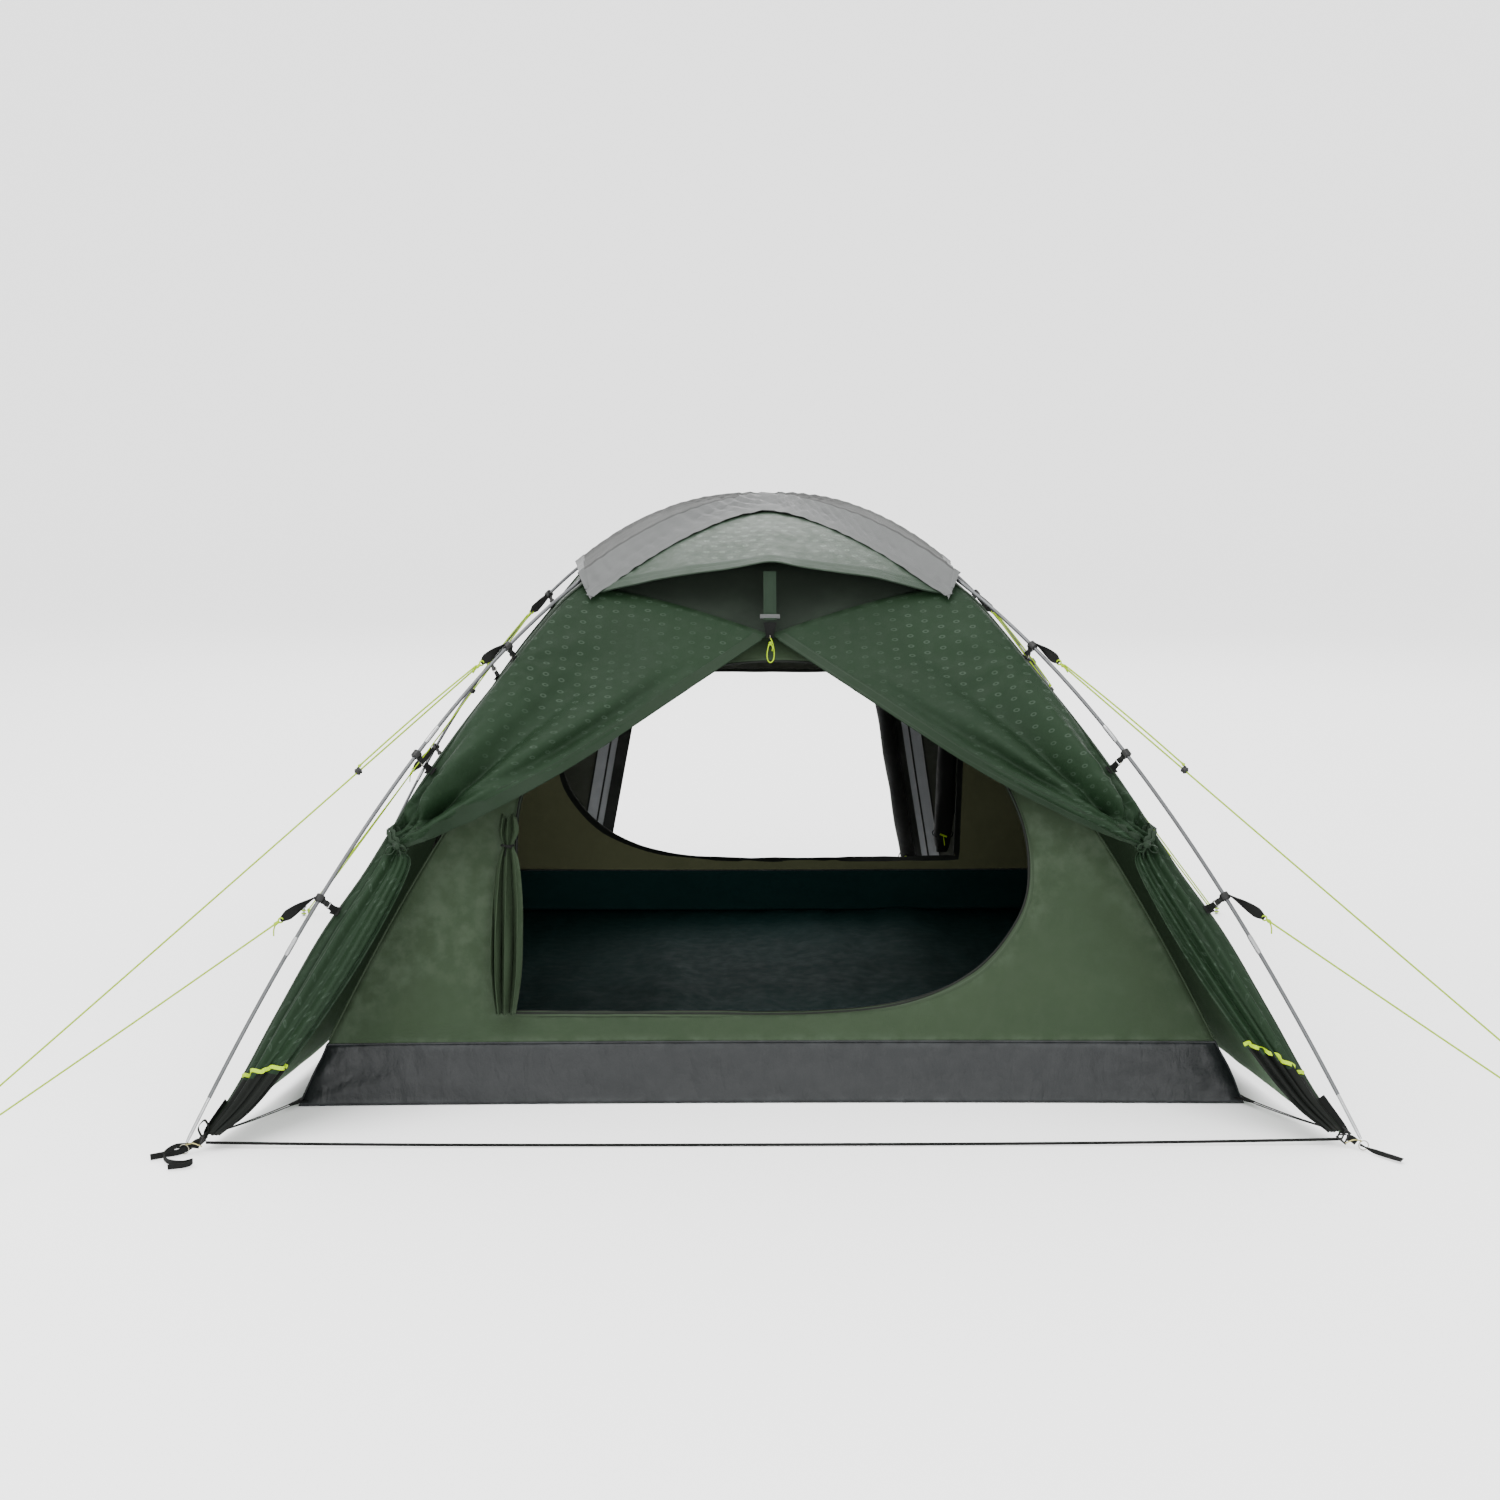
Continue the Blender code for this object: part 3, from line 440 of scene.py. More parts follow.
def make_paints():
    m = {}
    m["fly"] = cloth_paint("fly_cloth", FLY, FLY_PALE, FLY_DARK, 0.58, marks=MARK,
                           edge=(0.02, 0.032, 0.02), spec=0.11)
    m["hood"] = cloth_paint("hood_cloth", (0.019, 0.033, 0.02), (0.03, 0.048, 0.033),
                            (0.013, 0.024, 0.014), 0.46, marks=(0.065, 0.095, 0.07),
                            edge=(0.04, 0.056, 0.042), spec=0.3)
    m["fly_in"] = cloth_paint("fly_lining", (0.08, 0.125, 0.076), (0.105, 0.155, 0.098),
                              (0.06, 0.098, 0.056), 0.74, spec=0.1)
    # daylight that comes through the thin fly, in the narrow gap behind it
    lit = m["fly_in"].node_tree.nodes["Principled BSDF"].inputs
    lit["Emission Color"].default_value = (0.0105, 0.0175, 0.0098, 1.0)
    lit["Emission Strength"].default_value = 1.0
    # painted light: this lining is paler and more olive than the fly, for daylight that shows through
    # the cloth from inside
    m["rear_in"] = cloth_paint("rear_lining", (0.02, 0.024, 0.014), (0.03, 0.034, 0.021),
                              (0.014, 0.017, 0.01), 0.62)
    m["valance"] = cloth_paint("valance_cloth", (0.0042, 0.0052, 0.0042), (0.0085, 0.0098, 0.0085),
                               (0.0028, 0.0034, 0.0028), 0.66, edge=(0.014, 0.015, 0.013), spec=0.1)
    # the crown cloth in a lit and a shaded copy: the front band takes the lighter one, and the rear
    # half and the cloth behind the pole line take the darker one as painted shade
    m["crown"] = cloth_paint("crown_cloth", (0.082, 0.085, 0.084), (0.118, 0.121, 0.12),
                             (0.062, 0.064, 0.064), 0.46, crease=0.0009,
                             edge=(0.055, 0.055, 0.053), spec=0.14)
    m["crown_back"] = cloth_paint("crown_shaded_cloth", (0.05, 0.051, 0.05), (0.072, 0.073, 0.072),
                                  (0.038, 0.039, 0.038), 0.68, crease=0.0009, spec=0.06)
    m["crown_in"] = cloth_paint("crown_lining", (0.05, 0.052, 0.05), (0.07, 0.072, 0.07),
                                (0.035, 0.037, 0.035), 0.6)
    m["inner"] = cloth_paint("inner_cloth", (0.02, 0.0325, 0.0168), (0.027, 0.042, 0.0235),
                             (0.0145, 0.0245, 0.0122), 0.76, crease=0.0009, pitch=0.0008,
                             edge=(0.04, 0.056, 0.036), spec=0.12)
    # painted light: the inside of the inner tent is a paler, olive copy of its green cloth, for
    # daylight that shows through it
    m["inner_in"] = cloth_paint("inner_lining", (0.086, 0.092, 0.05), (0.105, 0.112, 0.064),
                                (0.066, 0.072, 0.038), 0.8, crease=0.0009, spec=0.08)
    m["tub"] = cloth_paint("tub_cloth", (0.0056, 0.0068, 0.0074), (0.012, 0.0138, 0.0148),
                           (0.005, 0.0062, 0.0068), 0.44, crease=0.0034, pitch=0.0014,
                           edge=(0.022, 0.025, 0.026), spec=0.24)
    m["tub_in"] = cloth_paint("tub_floor", (0.0048, 0.0185, 0.0175), (0.0085, 0.026, 0.0245),
                              (0.0028, 0.012, 0.0112), 0.8, crease=0.0008, pitch=0.0014, spec=0.05)
    m["black"] = cloth_paint("black_cloth", (0.005, 0.0056, 0.005), (0.011, 0.0118, 0.0108),
                             (0.0032, 0.0036, 0.0032), 0.68, spec=0.12)
    m["net"] = net_paint("vent_net", (0.0075, 0.013, 0.0078))
    m["hem"] = stitched_paint("fly_hem", (0.0066, 0.0152, 0.0068), (0.018, 0.028, 0.018), 0.66)
    m["hood_hem"] = stitched_paint("hood_hem", (0.0175, 0.029, 0.0185), (0.045, 0.065, 0.05), 0.5)
    m["crown_hem"] = stitched_paint("crown_hem", (0.07, 0.073, 0.072), (0.1, 0.1, 0.1), 0.55)
    m["inner_hem"] = stitched_paint("inner_hem", (0.018, 0.029, 0.015), (0.035, 0.05, 0.032), 0.74)
    m["binding"] = stitched_paint("door_binding", (0.0055, 0.0068, 0.0052), (0.018, 0.02, 0.018), 0.7,
                                  rows=(0.002,))
    m["strip"] = stitched_paint("pale_tape", (0.22, 0.23, 0.24), (0.3, 0.3, 0.3), 0.62,
                                rows=(0.002,))
    m["webbing"] = webbing_paint("black_webbing", (0.0042, 0.0046, 0.0042))
    m["strap"] = webbing_paint("green_strap", (0.01, 0.018, 0.011))
    m["plastic"] = plastic_paint("black_plastic", (0.005, 0.0054, 0.005))
    m["grey_plastic"] = plastic_paint("grey_plastic", (0.04, 0.042, 0.042), 0.5)
    m["pole"] = metal_paint("pole_alloy", (0.085, 0.088, 0.091), 0.38, metallic=0.85,
                              tarnish=(0.07, 0.072, 0.074), scratch=(0.2, 0.205, 0.21))
    m["ferrule"] = metal_paint("ferrule_alloy", (0.3, 0.305, 0.31), 0.26, tarnish=(0.16, 0.16, 0.16))
    m["steel"] = metal_paint("ring_steel", (0.26, 0.25, 0.2), 0.24, tarnish=(0.2, 0.17, 0.08))
    m["brass"] = metal_paint("pin_steel", (0.28, 0.25, 0.1), 0.28, tarnish=(0.16, 0.13, 0.05))
    m["peg"] = metal_paint("peg_steel", (0.26, 0.265, 0.27), 0.3, tarnish=(0.15, 0.15, 0.15))
    m["cord"] = cord_paint("neon_cord", NEON, (0.1, 0.12, 0.06))
    m["elastic"] = cord_paint("black_elastic", (0.005, 0.0054, 0.005), (0.018, 0.018, 0.018))
    m["piping"] = webbing_paint("neon_piping", NEON, 0.55)
    return m


# ---- mesh building
def unit(v):
    return v / np.maximum(np.linalg.norm(v, axis=-1, keepdims=True), 1e-9)


def grid_normals(points, ring=False):
    if ring:
        across = np.roll(points, -1, axis=1) - np.roll(points, 1, axis=1)
    else:
        across = np.gradient(points, axis=1)
    return unit(np.cross(across, np.gradient(points, axis=0)))


def outward(points, normals, centre=CENTRE):
    """+1 if the grid's normals already point away from the centre, or else -1."""
    return 1.0 if float((normals * (points - centre)).sum(-1).mean()) > 0 else -1.0


def metres(points):
    """Distances along and down a grid of cloth, for its weave and print."""
    step = np.linalg.norm(np.diff(points, axis=1), axis=2)
    u = np.concatenate([np.zeros((len(points), 1)), np.cumsum(step, axis=1)], axis=1)
    u = u - u[:, [u.shape[1] // 2]]
    step = np.linalg.norm(np.diff(points, axis=0), axis=2)
    v = np.concatenate([np.zeros((1, points.shape[1])), np.cumsum(step, axis=0)], axis=0)
    return u, v


def put_mesh(name, verts, faces, paints, slots, uvs):
    mesh = bpy.data.meshes.new(name)
    mesh.from_pydata([tuple(v) for v in verts], [], faces)
    for paint in paints:
        mesh.materials.append(paint)
    mesh.polygons.foreach_set("material_index", slots)
    mesh.polygons.foreach_set("use_smooth", [True] * len(faces))
    layer = mesh.uv_layers.new(name="UVMap")
    order = np.zeros(len(mesh.loops), int)
    mesh.loops.foreach_get("vertex_index", order)
    layer.data.foreach_set("uv", np.asarray(uvs, float)[order].astype(np.float32).ravel())
    mesh.update()
    obj = bpy.data.objects.new(name, mesh)
    bpy.context.scene.collection.objects.link(obj)
    return obj


def cloth(name, grid, paints, ring=False, keep=None, slot_of=None, thick=CLOTH, uv=None,
          centre=CENTRE, replaces=None):
    """Two-faced cloth with a rim. paints are (outer, inner, ...) and slot_of gives outer slots."""
    points = np.asarray(grid, float)
    rows, cols = points.shape[:2]
    normals = grid_normals(points, ring)
    side = outward(points, normals, centre)
    normals = normals * side
    u, v = metres(points) if uv is None else uv
    top = (points + normals * thick / 2).reshape(-1, 3)
    low = (points - normals * thick / 2).reshape(-1, 3)
    base = rows * cols
    faces, slots, edges = [], [], {}
    for i in range(rows - 1):
        for j in range(cols if ring else cols - 1):
            if keep is not None and not keep[i][j]:
                continue
            k = (j + 1) % cols
            quad = (i * cols + j, i * cols + k, (i + 1) * cols + k, (i + 1) * cols + j)
            quad = quad if side > 0 else quad[::-1]
            face_slot = 0 if slot_of is None else int(slot_of[i][j])
            for tri in ((quad[0], quad[1], quad[2]), (quad[0], quad[2], quad[3])):
                faces.append(tri)
                faces.append((base + tri[0], base + tri[2], base + tri[1]))
                slots += [face_slot, 1]
            for n in range(4):
                edges[(quad[n], quad[(n + 1) % 4])] = face_slot
    for (a, b), face_slot in edges.items():
        if (b, a) not in edges:
            faces += [(b, a, base + a), (b, base + a, base + b)]
            slots += [face_slot, face_slot]
    used = sorted({q for face in faces for q in face})
    index = {q: n for n, q in enumerate(used)}
    verts = np.concatenate([top, low])[used]
    flat = np.stack([u, v], axis=-1).reshape(-1, 2)
    flat = np.concatenate([flat, flat])[used]
    faces = [tuple(index[q] for q in face) for face in faces]
    obj = put_mesh(name, verts, faces, paints, slots, flat)
    near = np.minimum(v - v.min(0), v.max(0) - v)
    if not ring:
        near = np.minimum(near, np.minimum(u - u.min(1)[:, None], u.max(1)[:, None] - u))
    near = np.concatenate([near.reshape(-1)] * 2)[used]
    hem = obj.data.attributes.new("hem", "FLOAT", "POINT")
    hem.data.foreach_set("value", near.astype(np.float32))
    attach(obj, "tent")
    if replaces != "":
        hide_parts(replaces or name)
    return obj


def area_of(grid, ring=False, keep=None):
    points = np.asarray(grid, float)
    if ring:
        points = np.concatenate([points, points[:, :1]], axis=1)
    a, b, c, d = points[:-1, :-1], points[:-1, 1:], points[1:, 1:], points[1:, :-1]
    size = (np.linalg.norm(np.cross(b - a, c - a), axis=2)
            + np.linalg.norm(np.cross(c - a, d - a), axis=2)) / 2
    return float(size.sum() if keep is None else size[np.asarray(keep)].sum())


class Pieces:
    """Collects tubes, straps and rings into one mesh with several materials."""

    def __init__(self):
        self.verts, self.faces, self.slots, self.uvs = [], [], [], []

    def add(self, verts, faces, uvs, slot):
        base = len(self.verts)
        self.verts += [tuple(v) for v in verts]
        self.uvs += uvs
        self.faces += [tuple(base + q for q in face) for face in faces]
        self.slots += [slot] * len(faces)

    def loft(self, points, sections, slot, side, closed=False):
        """Sweeps sections, one list of (across, up) offsets for each point."""
        points = [Vector(p) for p in points]
        count, n = len(points), len(sections[0])
        verts, uvs, faces = [], [], []
        long = 0.0
        for i, point in enumerate(points):
            if closed:
                ahead = points[(i + 1) % count] - points[i - 1]
            else:
                ahead = points[min(i + 1, count - 1)] - points[max(i - 1, 0)]
            ahead.normalize()
            lean = Vector(side[i]) if isinstance(side, list) else Vector(side)
            across = lean - ahead * lean.dot(ahead)
            across.normalize()
            up = ahead.cross(across)
            if i:
                long += (point - points[i - 1]).length
            round_it = 0.0
            for k, (a, b) in enumerate(sections[i]):
                if k:
                    c = sections[i][k - 1]
                    round_it += math.hypot(a - c[0], b - c[1])
                verts.append(point + across * a + up * b)
                uvs.append((round_it, long))
        for i in range(count if closed else count - 1):
            for k in range(n):
                m, j = (k + 1) % n, (i + 1) % count
                faces.append((i * n + k, i * n + m, j * n + m, j * n + k))
        if not closed:
            faces.append(tuple(reversed(range(n))))
            faces.append(tuple((count - 1) * n + k for k in range(n)))
        self.add(verts, faces, uvs, slot)

    def tube(self, points, radii, slot=0, sides=12, side=(0.31, 0.22, 1.0), closed=False):
        radii = list(radii) if hasattr(radii, "__len__") else [radii] * len(points)
        turns = [2 * math.pi * k / sides for k in range(sides)]
        sections = [[(r * math.cos(t), r * math.sin(t)) for t in turns] for r in radii]
        self.loft(points, sections, slot, side, closed)

    def strap(self, points, width, thick, slot=0, side=(1, 0, 0), closed=False):
        widths = list(width) if hasattr(width, "__len__") else [width] * len(points)
        sections = []
        for w in widths:
            a, b, e = w / 2, thick / 2, thick * 0.35
            sections.append([(-a, -b + e), (-a + e, -b), (-a / 3, -b), (a / 3, -b), (a - e, -b),
                             (a, -b + e), (a, b - e), (a - e, b), (a / 3, b), (-a / 3, b),
                             (-a + e, b), (-a, b - e)])
        self.loft(points, sections, slot, side, closed)

    def ring(self, centre, axis, radius, wire, slot=0, steps=32):
        axis = Vector(axis).normalized()
        side = axis.orthogonal().normalized()
        up = axis.cross(side)
        points = [Vector(centre) + side * (radius * math.cos(2 * math.pi * k / steps))
                  + up * (radius * math.sin(2 * math.pi * k / steps)) for k in range(steps)]
        self.tube(points, wire, slot, 10, axis, True)

    def blob(self, centre, axis, length, radius, slot=0, rough=0.0, seed=0.0):
        """Rounded lump along an axis, such as a pulled-tight knot."""
        axis = Vector(axis).normalized()
        steps = 9
        points, radii = [], []
        for k in range(steps):
            t = -1 + 2 * k / (steps - 1)
            points.append(Vector(centre) + axis * (t * length / 2))
            radii.append(radius * max(0.22, math.sqrt(max(0.0, 1 - t * t)))
                         * (1 + rough * math.sin(5.0 * t + seed)))
        self.tube(points, radii, slot, 14, axis.orthogonal())

    def build(self, name, paints, body="tent", replaces=()):
        obj = put_mesh(name, self.verts, self.faces, paints, self.slots, self.uvs)
        obj.data.set_sharp_from_angle(angle=math.radians(40))
        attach(obj, body)
        if replaces:
            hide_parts(*replaces)
        return obj


def curve_through(points, steps=8):
    """Catmull-Rom line through a few chosen points."""
    pts = [Vector(p) for p in points]
    pts = [pts[0] * 2 - pts[1]] + pts + [pts[-1] * 2 - pts[-2]]
    line = []
    for a, b, c, d in zip(pts, pts[1:], pts[2:], pts[3:]):
        for k in range(steps):
            t = k / steps
            line.append(0.5 * (2 * b + (c - a) * t + (2 * a - 5 * b + 4 * c - d) * t ** 2
                               + (3 * b - a - 3 * c + d) * t ** 3))
    return line + [pts[-2]]


def bowed(start, end, count, bow):
    """Points from start to end, pushed aside by the vector bow at the middle."""
    ts = [k / (count - 1) for k in range(count)]
    return [lerp(start, end, t) + bow * math.sin(math.pi * t) for t in ts]


# ---- folds
def rough_field(points, scale, seed=0.0, stretch=(1, 1, 1)):
    """Smooth noise from -1 to 1 at every point of a grid."""
    flat = points.reshape(-1, 3) * np.asarray(stretch) * scale + seed
    values = [noise.noise(Vector(p)) for p in flat]
    return np.array(values).reshape(points.shape[:2])


def fan(points, normals, anchor, into, pleats, reach, depth, phase=0.0):
    """Tension folds that fan out from an anchor into the cloth."""
    anchor, into = np.asarray(anchor, float), unit(np.asarray(into, float))
    off = points - anchor
    a = off @ into
    across = np.cross(normals, into)
    b = (off * across).sum(-1)
    angle = np.arctan2(b, a)
    far = np.sqrt((off ** 2).sum(-1)) / reach
    crest = np.cos(2 * (pleats * angle + phase))
    near = np.exp(-(angle / 1.1) ** 2)
    return depth * crest * near * np.clip(far / 0.35, 0, 1) * far * np.exp(1 - far) * (far < 6)


def push(points, amount):
    """Moves a grid outwards, by one amount or one for each point."""
    normals = grid_normals(points)
    amount = np.broadcast_to(np.asarray(amount, float), points.shape[:2])
    return points + normals * outward(points, normals) * amount[..., None]


# ---- outer tent
def hood_lift(x, y):
    """How far the hood stands off the roof over a point."""
    r = np.abs(y) / FOOT_Y
    reach = (np.maximum(0, r - 0.09) / 0.295) ** 1.5
    u = np.clip(x / np.maximum(0.01, FOOT_X * r - 0.06), -1, 1)
    return HOOD_LIFT * reach * (1 - u ** 2) ** 1.5


def side_panel(m, name, sx):
    r = np.concatenate([np.linspace(0.345, 0.79, 46), np.linspace(0.8, HEM_R, 26)])
    s = np.linspace(-1, 1, 71)
    rr, ss = np.meshgrid(r, s, indexing="ij")
    bow = SIDE_BOW * np.maximum(0, (rr - 0.35) / 0.65) ** 1.3
    x = sx * (FOOT_X * rr - bow * (1 - ss ** 2))
    y = ss * (FOOT_Y * rr - 0.0016)
    z = arch_z(rr) - drop(rr)
    grid = np.stack([x, y, z], axis=-1)
    normals = grid_normals(grid)
    folds = np.zeros(rr.shape)
    for sy in (-1, 1):
        for n, at in enumerate(CLIP_AT + (HEM_R,)):
            into = np.array((0.0, -sy, -0.25 if at < 0.9 else 1.0))
            folds += fan(grid, normals, fly_corner(sx, sy, at), into, 6, 0.12, 0.0045, n + sx)
    folds += 0.007 * rough_field(grid, 2.6, 3.0 + sx, (1, 1, 0.5))
    folds += 0.0022 * rough_field(grid, 11.0, 7.0 + sx, (1, 1, 0.35))
    ease = np.minimum(1, (1 - np.abs(ss)) / 0.06) * np.minimum(1, (rr - 0.345) / 0.03)
    grid = push(grid, folds * ease)
    slots = (rr[:-1, :-1] > VALANCE_R).astype(int) * 2
    obj = cloth(name, grid, (m["fly"], m["fly_in"], m["valance"]), slot_of=slots)
    pipe = Pieces()
    k = int(np.argmax(r > VALANCE_R))
    edge = push(grid, 0.0016)[k]
    pipe.tube([Vector(p) for p in edge], 0.0019, 0, 8)
    pipe.build(name + "_piping", [m["piping"]])
    hem = Pieces()
    outer = push(grid, 0.0008)
    strip_between(hem, outer[-1], outer[-3], 0.0008)
    hem.build(name + "_hem", [m["binding"]])


def strip_between(pieces, edge, inner, thick, slot=0):
    """Flat folded hem that lies along the edge of a cloth."""
    edge, inner = np.asarray(edge), np.asarray(inner)
    middle = (edge + inner) / 2
    points = [Vector(p) for p in middle]
    sides = [Vector(a - b) for a, b in zip(edge, inner)]
    widths = [float(np.linalg.norm(a - b)) for a, b in zip(edge, inner)]
    pieces.strap(points, widths, thick, slot, sides)


# rows of a front door from its head (0) to its foot (11): level on the pole side
DOOR_LEVELS = (0.35, 0.43, 0.5, 0.555, 0.605, 0.645, 0.677, 0.715, 0.79, 0.86, 0.93, 0.965)
DOOR_EDGE = ((0.145, -0.602, 0.918), (0.29, -0.682, 0.831), (0.431, -0.745, 0.745),
             (0.56, -0.797, 0.678), (0.7, -0.842, 0.613))
TIED_WIDTH = (0.085, 0.112, 0.098, 0.062, 0.03)
DOOR_SWELL = ((-0.004, 0.01), (-0.0147, 0.0103), (-0.0183, 0.0128), (-0.022, 0.0154),
              (-0.0183, 0.0128), (-0.0147, 0.0103), (-0.004, 0.0), (-0.011, 0.0055),
              (-0.019, 0.0095), (-0.022, 0.011), (-0.019, 0.0095), (-0.011, 0.0055))
DOOR_FOLD = (0.0, 0.001, 0.003, 0.005, 0.008, 0.01, 0.008, 0.011, 0.012, 0.011, 0.008, 0.003)


def door_grid(sx, rows, cols):
    loose = 1.06 if sx < 0 else 1.0
    free = [vec(0.002, ZIP_TOP.y, ZIP_TOP.z)] + [Vector(p) for p in DOOR_EDGE]
    free.append(vec(-KNOT.x, KNOT.y, KNOT.z))
    for r, tied in zip(DOOR_LEVELS[7:], TIED_WIDTH):
        corner = fly_corner(1, -1, r)
        free.append(vec(corner.x - tied * loose, corner.y - 0.1 * tied * loose, corner.z))
    number = np.arange(12)
    i = np.linspace(0, 11, rows)
    level = np.interp(i, number, DOOR_LEVELS)
    upper = smooth(number[:7], np.array([tuple(p) for p in free[:7]]), np.minimum(i, 6))
    lower = smooth(number[6:], np.array([tuple(p) for p in free[6:]]), np.maximum(i, 6))
    edge = np.where((i < 6)[:, None], upper, lower)
    corner = np.stack([FOOT_X * level - SEAM, -FOOT_Y * level - SEAM, arch_z(level) - drop(level)], -1)
    swell = smooth(number, np.array(DOOR_SWELL), i)
    fold = smooth(number, np.array(DOOR_FOLD), i)
    w = np.linspace(0, 1, cols)
    grid = corner[:, None] + (edge - corner)[:, None] * w[None, :, None]
    bulge = np.sin(np.pi * w)
    grid[..., 1] += swell[:, :1] * bulge
    grid[..., 2] += swell[:, 1:] * bulge
    warp = w + 0.035 * np.sin(7 * w + 1.3 * sx) * (0.5 + 0.5 * np.sin(i * 0.9))[:, None]
    warp = warp + 0.05 * np.sin(3.1 * w + 0.35 * i[:, None] + sx)
    pleat = np.cos(2 * np.pi * (3.2 + 0.4 * sx) * warp)
    pleat += 0.35 * np.cos(2 * np.pi * 7.3 * warp + 0.8 * i[:, None])
    hold = np.minimum(1, np.minimum(w / 0.1, (1 - w) / 0.05 + 0.25))
    amount = fold[:, None] * pleat * hold * 0.72
    grid[..., 0] *= sx
    return grid, amount, level, i, w


def front_door(m, name, sx):
    grid, amount, level, i, w = door_grid(sx, 122, 47)
    normals = grid_normals(grid)
    for n, at in enumerate(CLIP_AT[:2]):
        amount = amount + fan(grid, normals, fly_corner(sx, -1, at), (-sx, 0.0, -0.2), 6, 0.1,
                              0.004, n) * np.minimum(1, w / 0.05)
    amount = amount + 0.004 * rough_field(grid, 3.4, 11.0 * sx) * np.minimum(1, i / 1.5)[:, None]
    amount = amount + 0.0014 * rough_field(grid, 15.0, 5.0 * sx) * np.minimum(1, w / 0.05)
    knot = np.array((-sx * KNOT.x, KNOT.y, KNOT.z))
    above = np.clip((6.2 - i) / 0.5, 0, 1)[:, None]
    amount = amount + above * fan(grid, normals, knot, (-sx * 0.55, 0.25, 0.8), 7, 0.22, 0.019, 0.9)
    amount = amount + above * fan(grid, normals, knot, (-sx * 0.3, 0.2, 0.93), 3, 0.36, 0.015, 0.2)
    wide = np.linalg.norm(grid[:, -1] - grid[:, 0], axis=1)[:, None]
    off = (1 - w)[None, :] * wide
    roll = 0.009 * np.exp(-((off - 0.02) / 0.015) ** 2) - 0.022 * np.exp(-((off - 0.058) / 0.016) ** 2)
    amount = amount + roll * np.clip((i - 0.8) / 2.0, 0, 1)[:, None] * above
    amount = amount * np.minimum(1, i / 0.8)[:, None] * np.minimum(1, w / 0.03)
    grid = push(grid, amount)
    across = w * w * (3 - 2 * w)
    piping_at = VALANCE_R + 0.003 - (0.01 if sx < 0 else 0.026) * across
    slots = (level[:-1, None] > piping_at[None, :-1]).astype(int) * 2
    obj = cloth(name, grid, (m["fly"], m["fly_in"], m["valance"]), slot_of=slots)
    hem = Pieces()
    outer = push(grid, HEM_OFF)
    widths = np.linalg.norm(outer[:, -1] - outer[:, 0], axis=1)
    places = (1 - np.minimum(0.45, 0.024 / widths)) * (len(w) - 1)
    inner = [lerp(row[int(k)], row[int(k) + 1], k - int(k)) for row, k in zip(outer, places)]
    stop = int(121 * 6 / 11)
    strip_between(hem, outer[1:stop, -1], np.array(inner)[1:stop], 0.0012)
    under = push(grid, -HEM_OFF)
    inner = [lerp(row[int(k)], row[int(k) + 1], 0.5) for row, k in
             zip(under, (len(w) - 1) * (1 - np.minimum(0.45, 0.034 / widths)))]
    strip_between(hem, under[1:stop, -1], np.array(inner)[1:stop], 0.0012)
    hem_obj = hem.build(name + "_hem", [m["hem"]])
    pipe = Pieces()
    path = []
    raised = push(grid, 0.0042)
    for k in range(len(w)):
        want = piping_at[k]
        row = int(np.argmax(level > want))
        t = (want - level[row - 1]) / (level[row] - level[row - 1])
        path.append(Vector(lerp(raised[row - 1, k], raised[row, k], t)))
    pipe.strap(curve_through(path[::4] + path[-1:], 4), 0.0085, 0.0022, 0, (0, 0.3, 1.0))
    pipe.build(name + "_piping", [m["piping"]])


def fly_seams(m):
    """Bound seams down the four corners of the fly."""
    for place, (sx, sy) in SIDES.items():
        seam = Pieces()
        points = []
        for k in range(61):
            r = lerp(0.347, HEM_R, k / 60)
            point = fly_corner(sx, sy, r)
            points.append(point + vec(sx * 0.0006, sy * 0.0006, 0.0006))
        seam.strap(points, 0.0075, 0.003, 0, (sx * 0.7, -sy * 0.7, 0.0))
        seam.build("fly_seam_" + place, [m["hem"]])


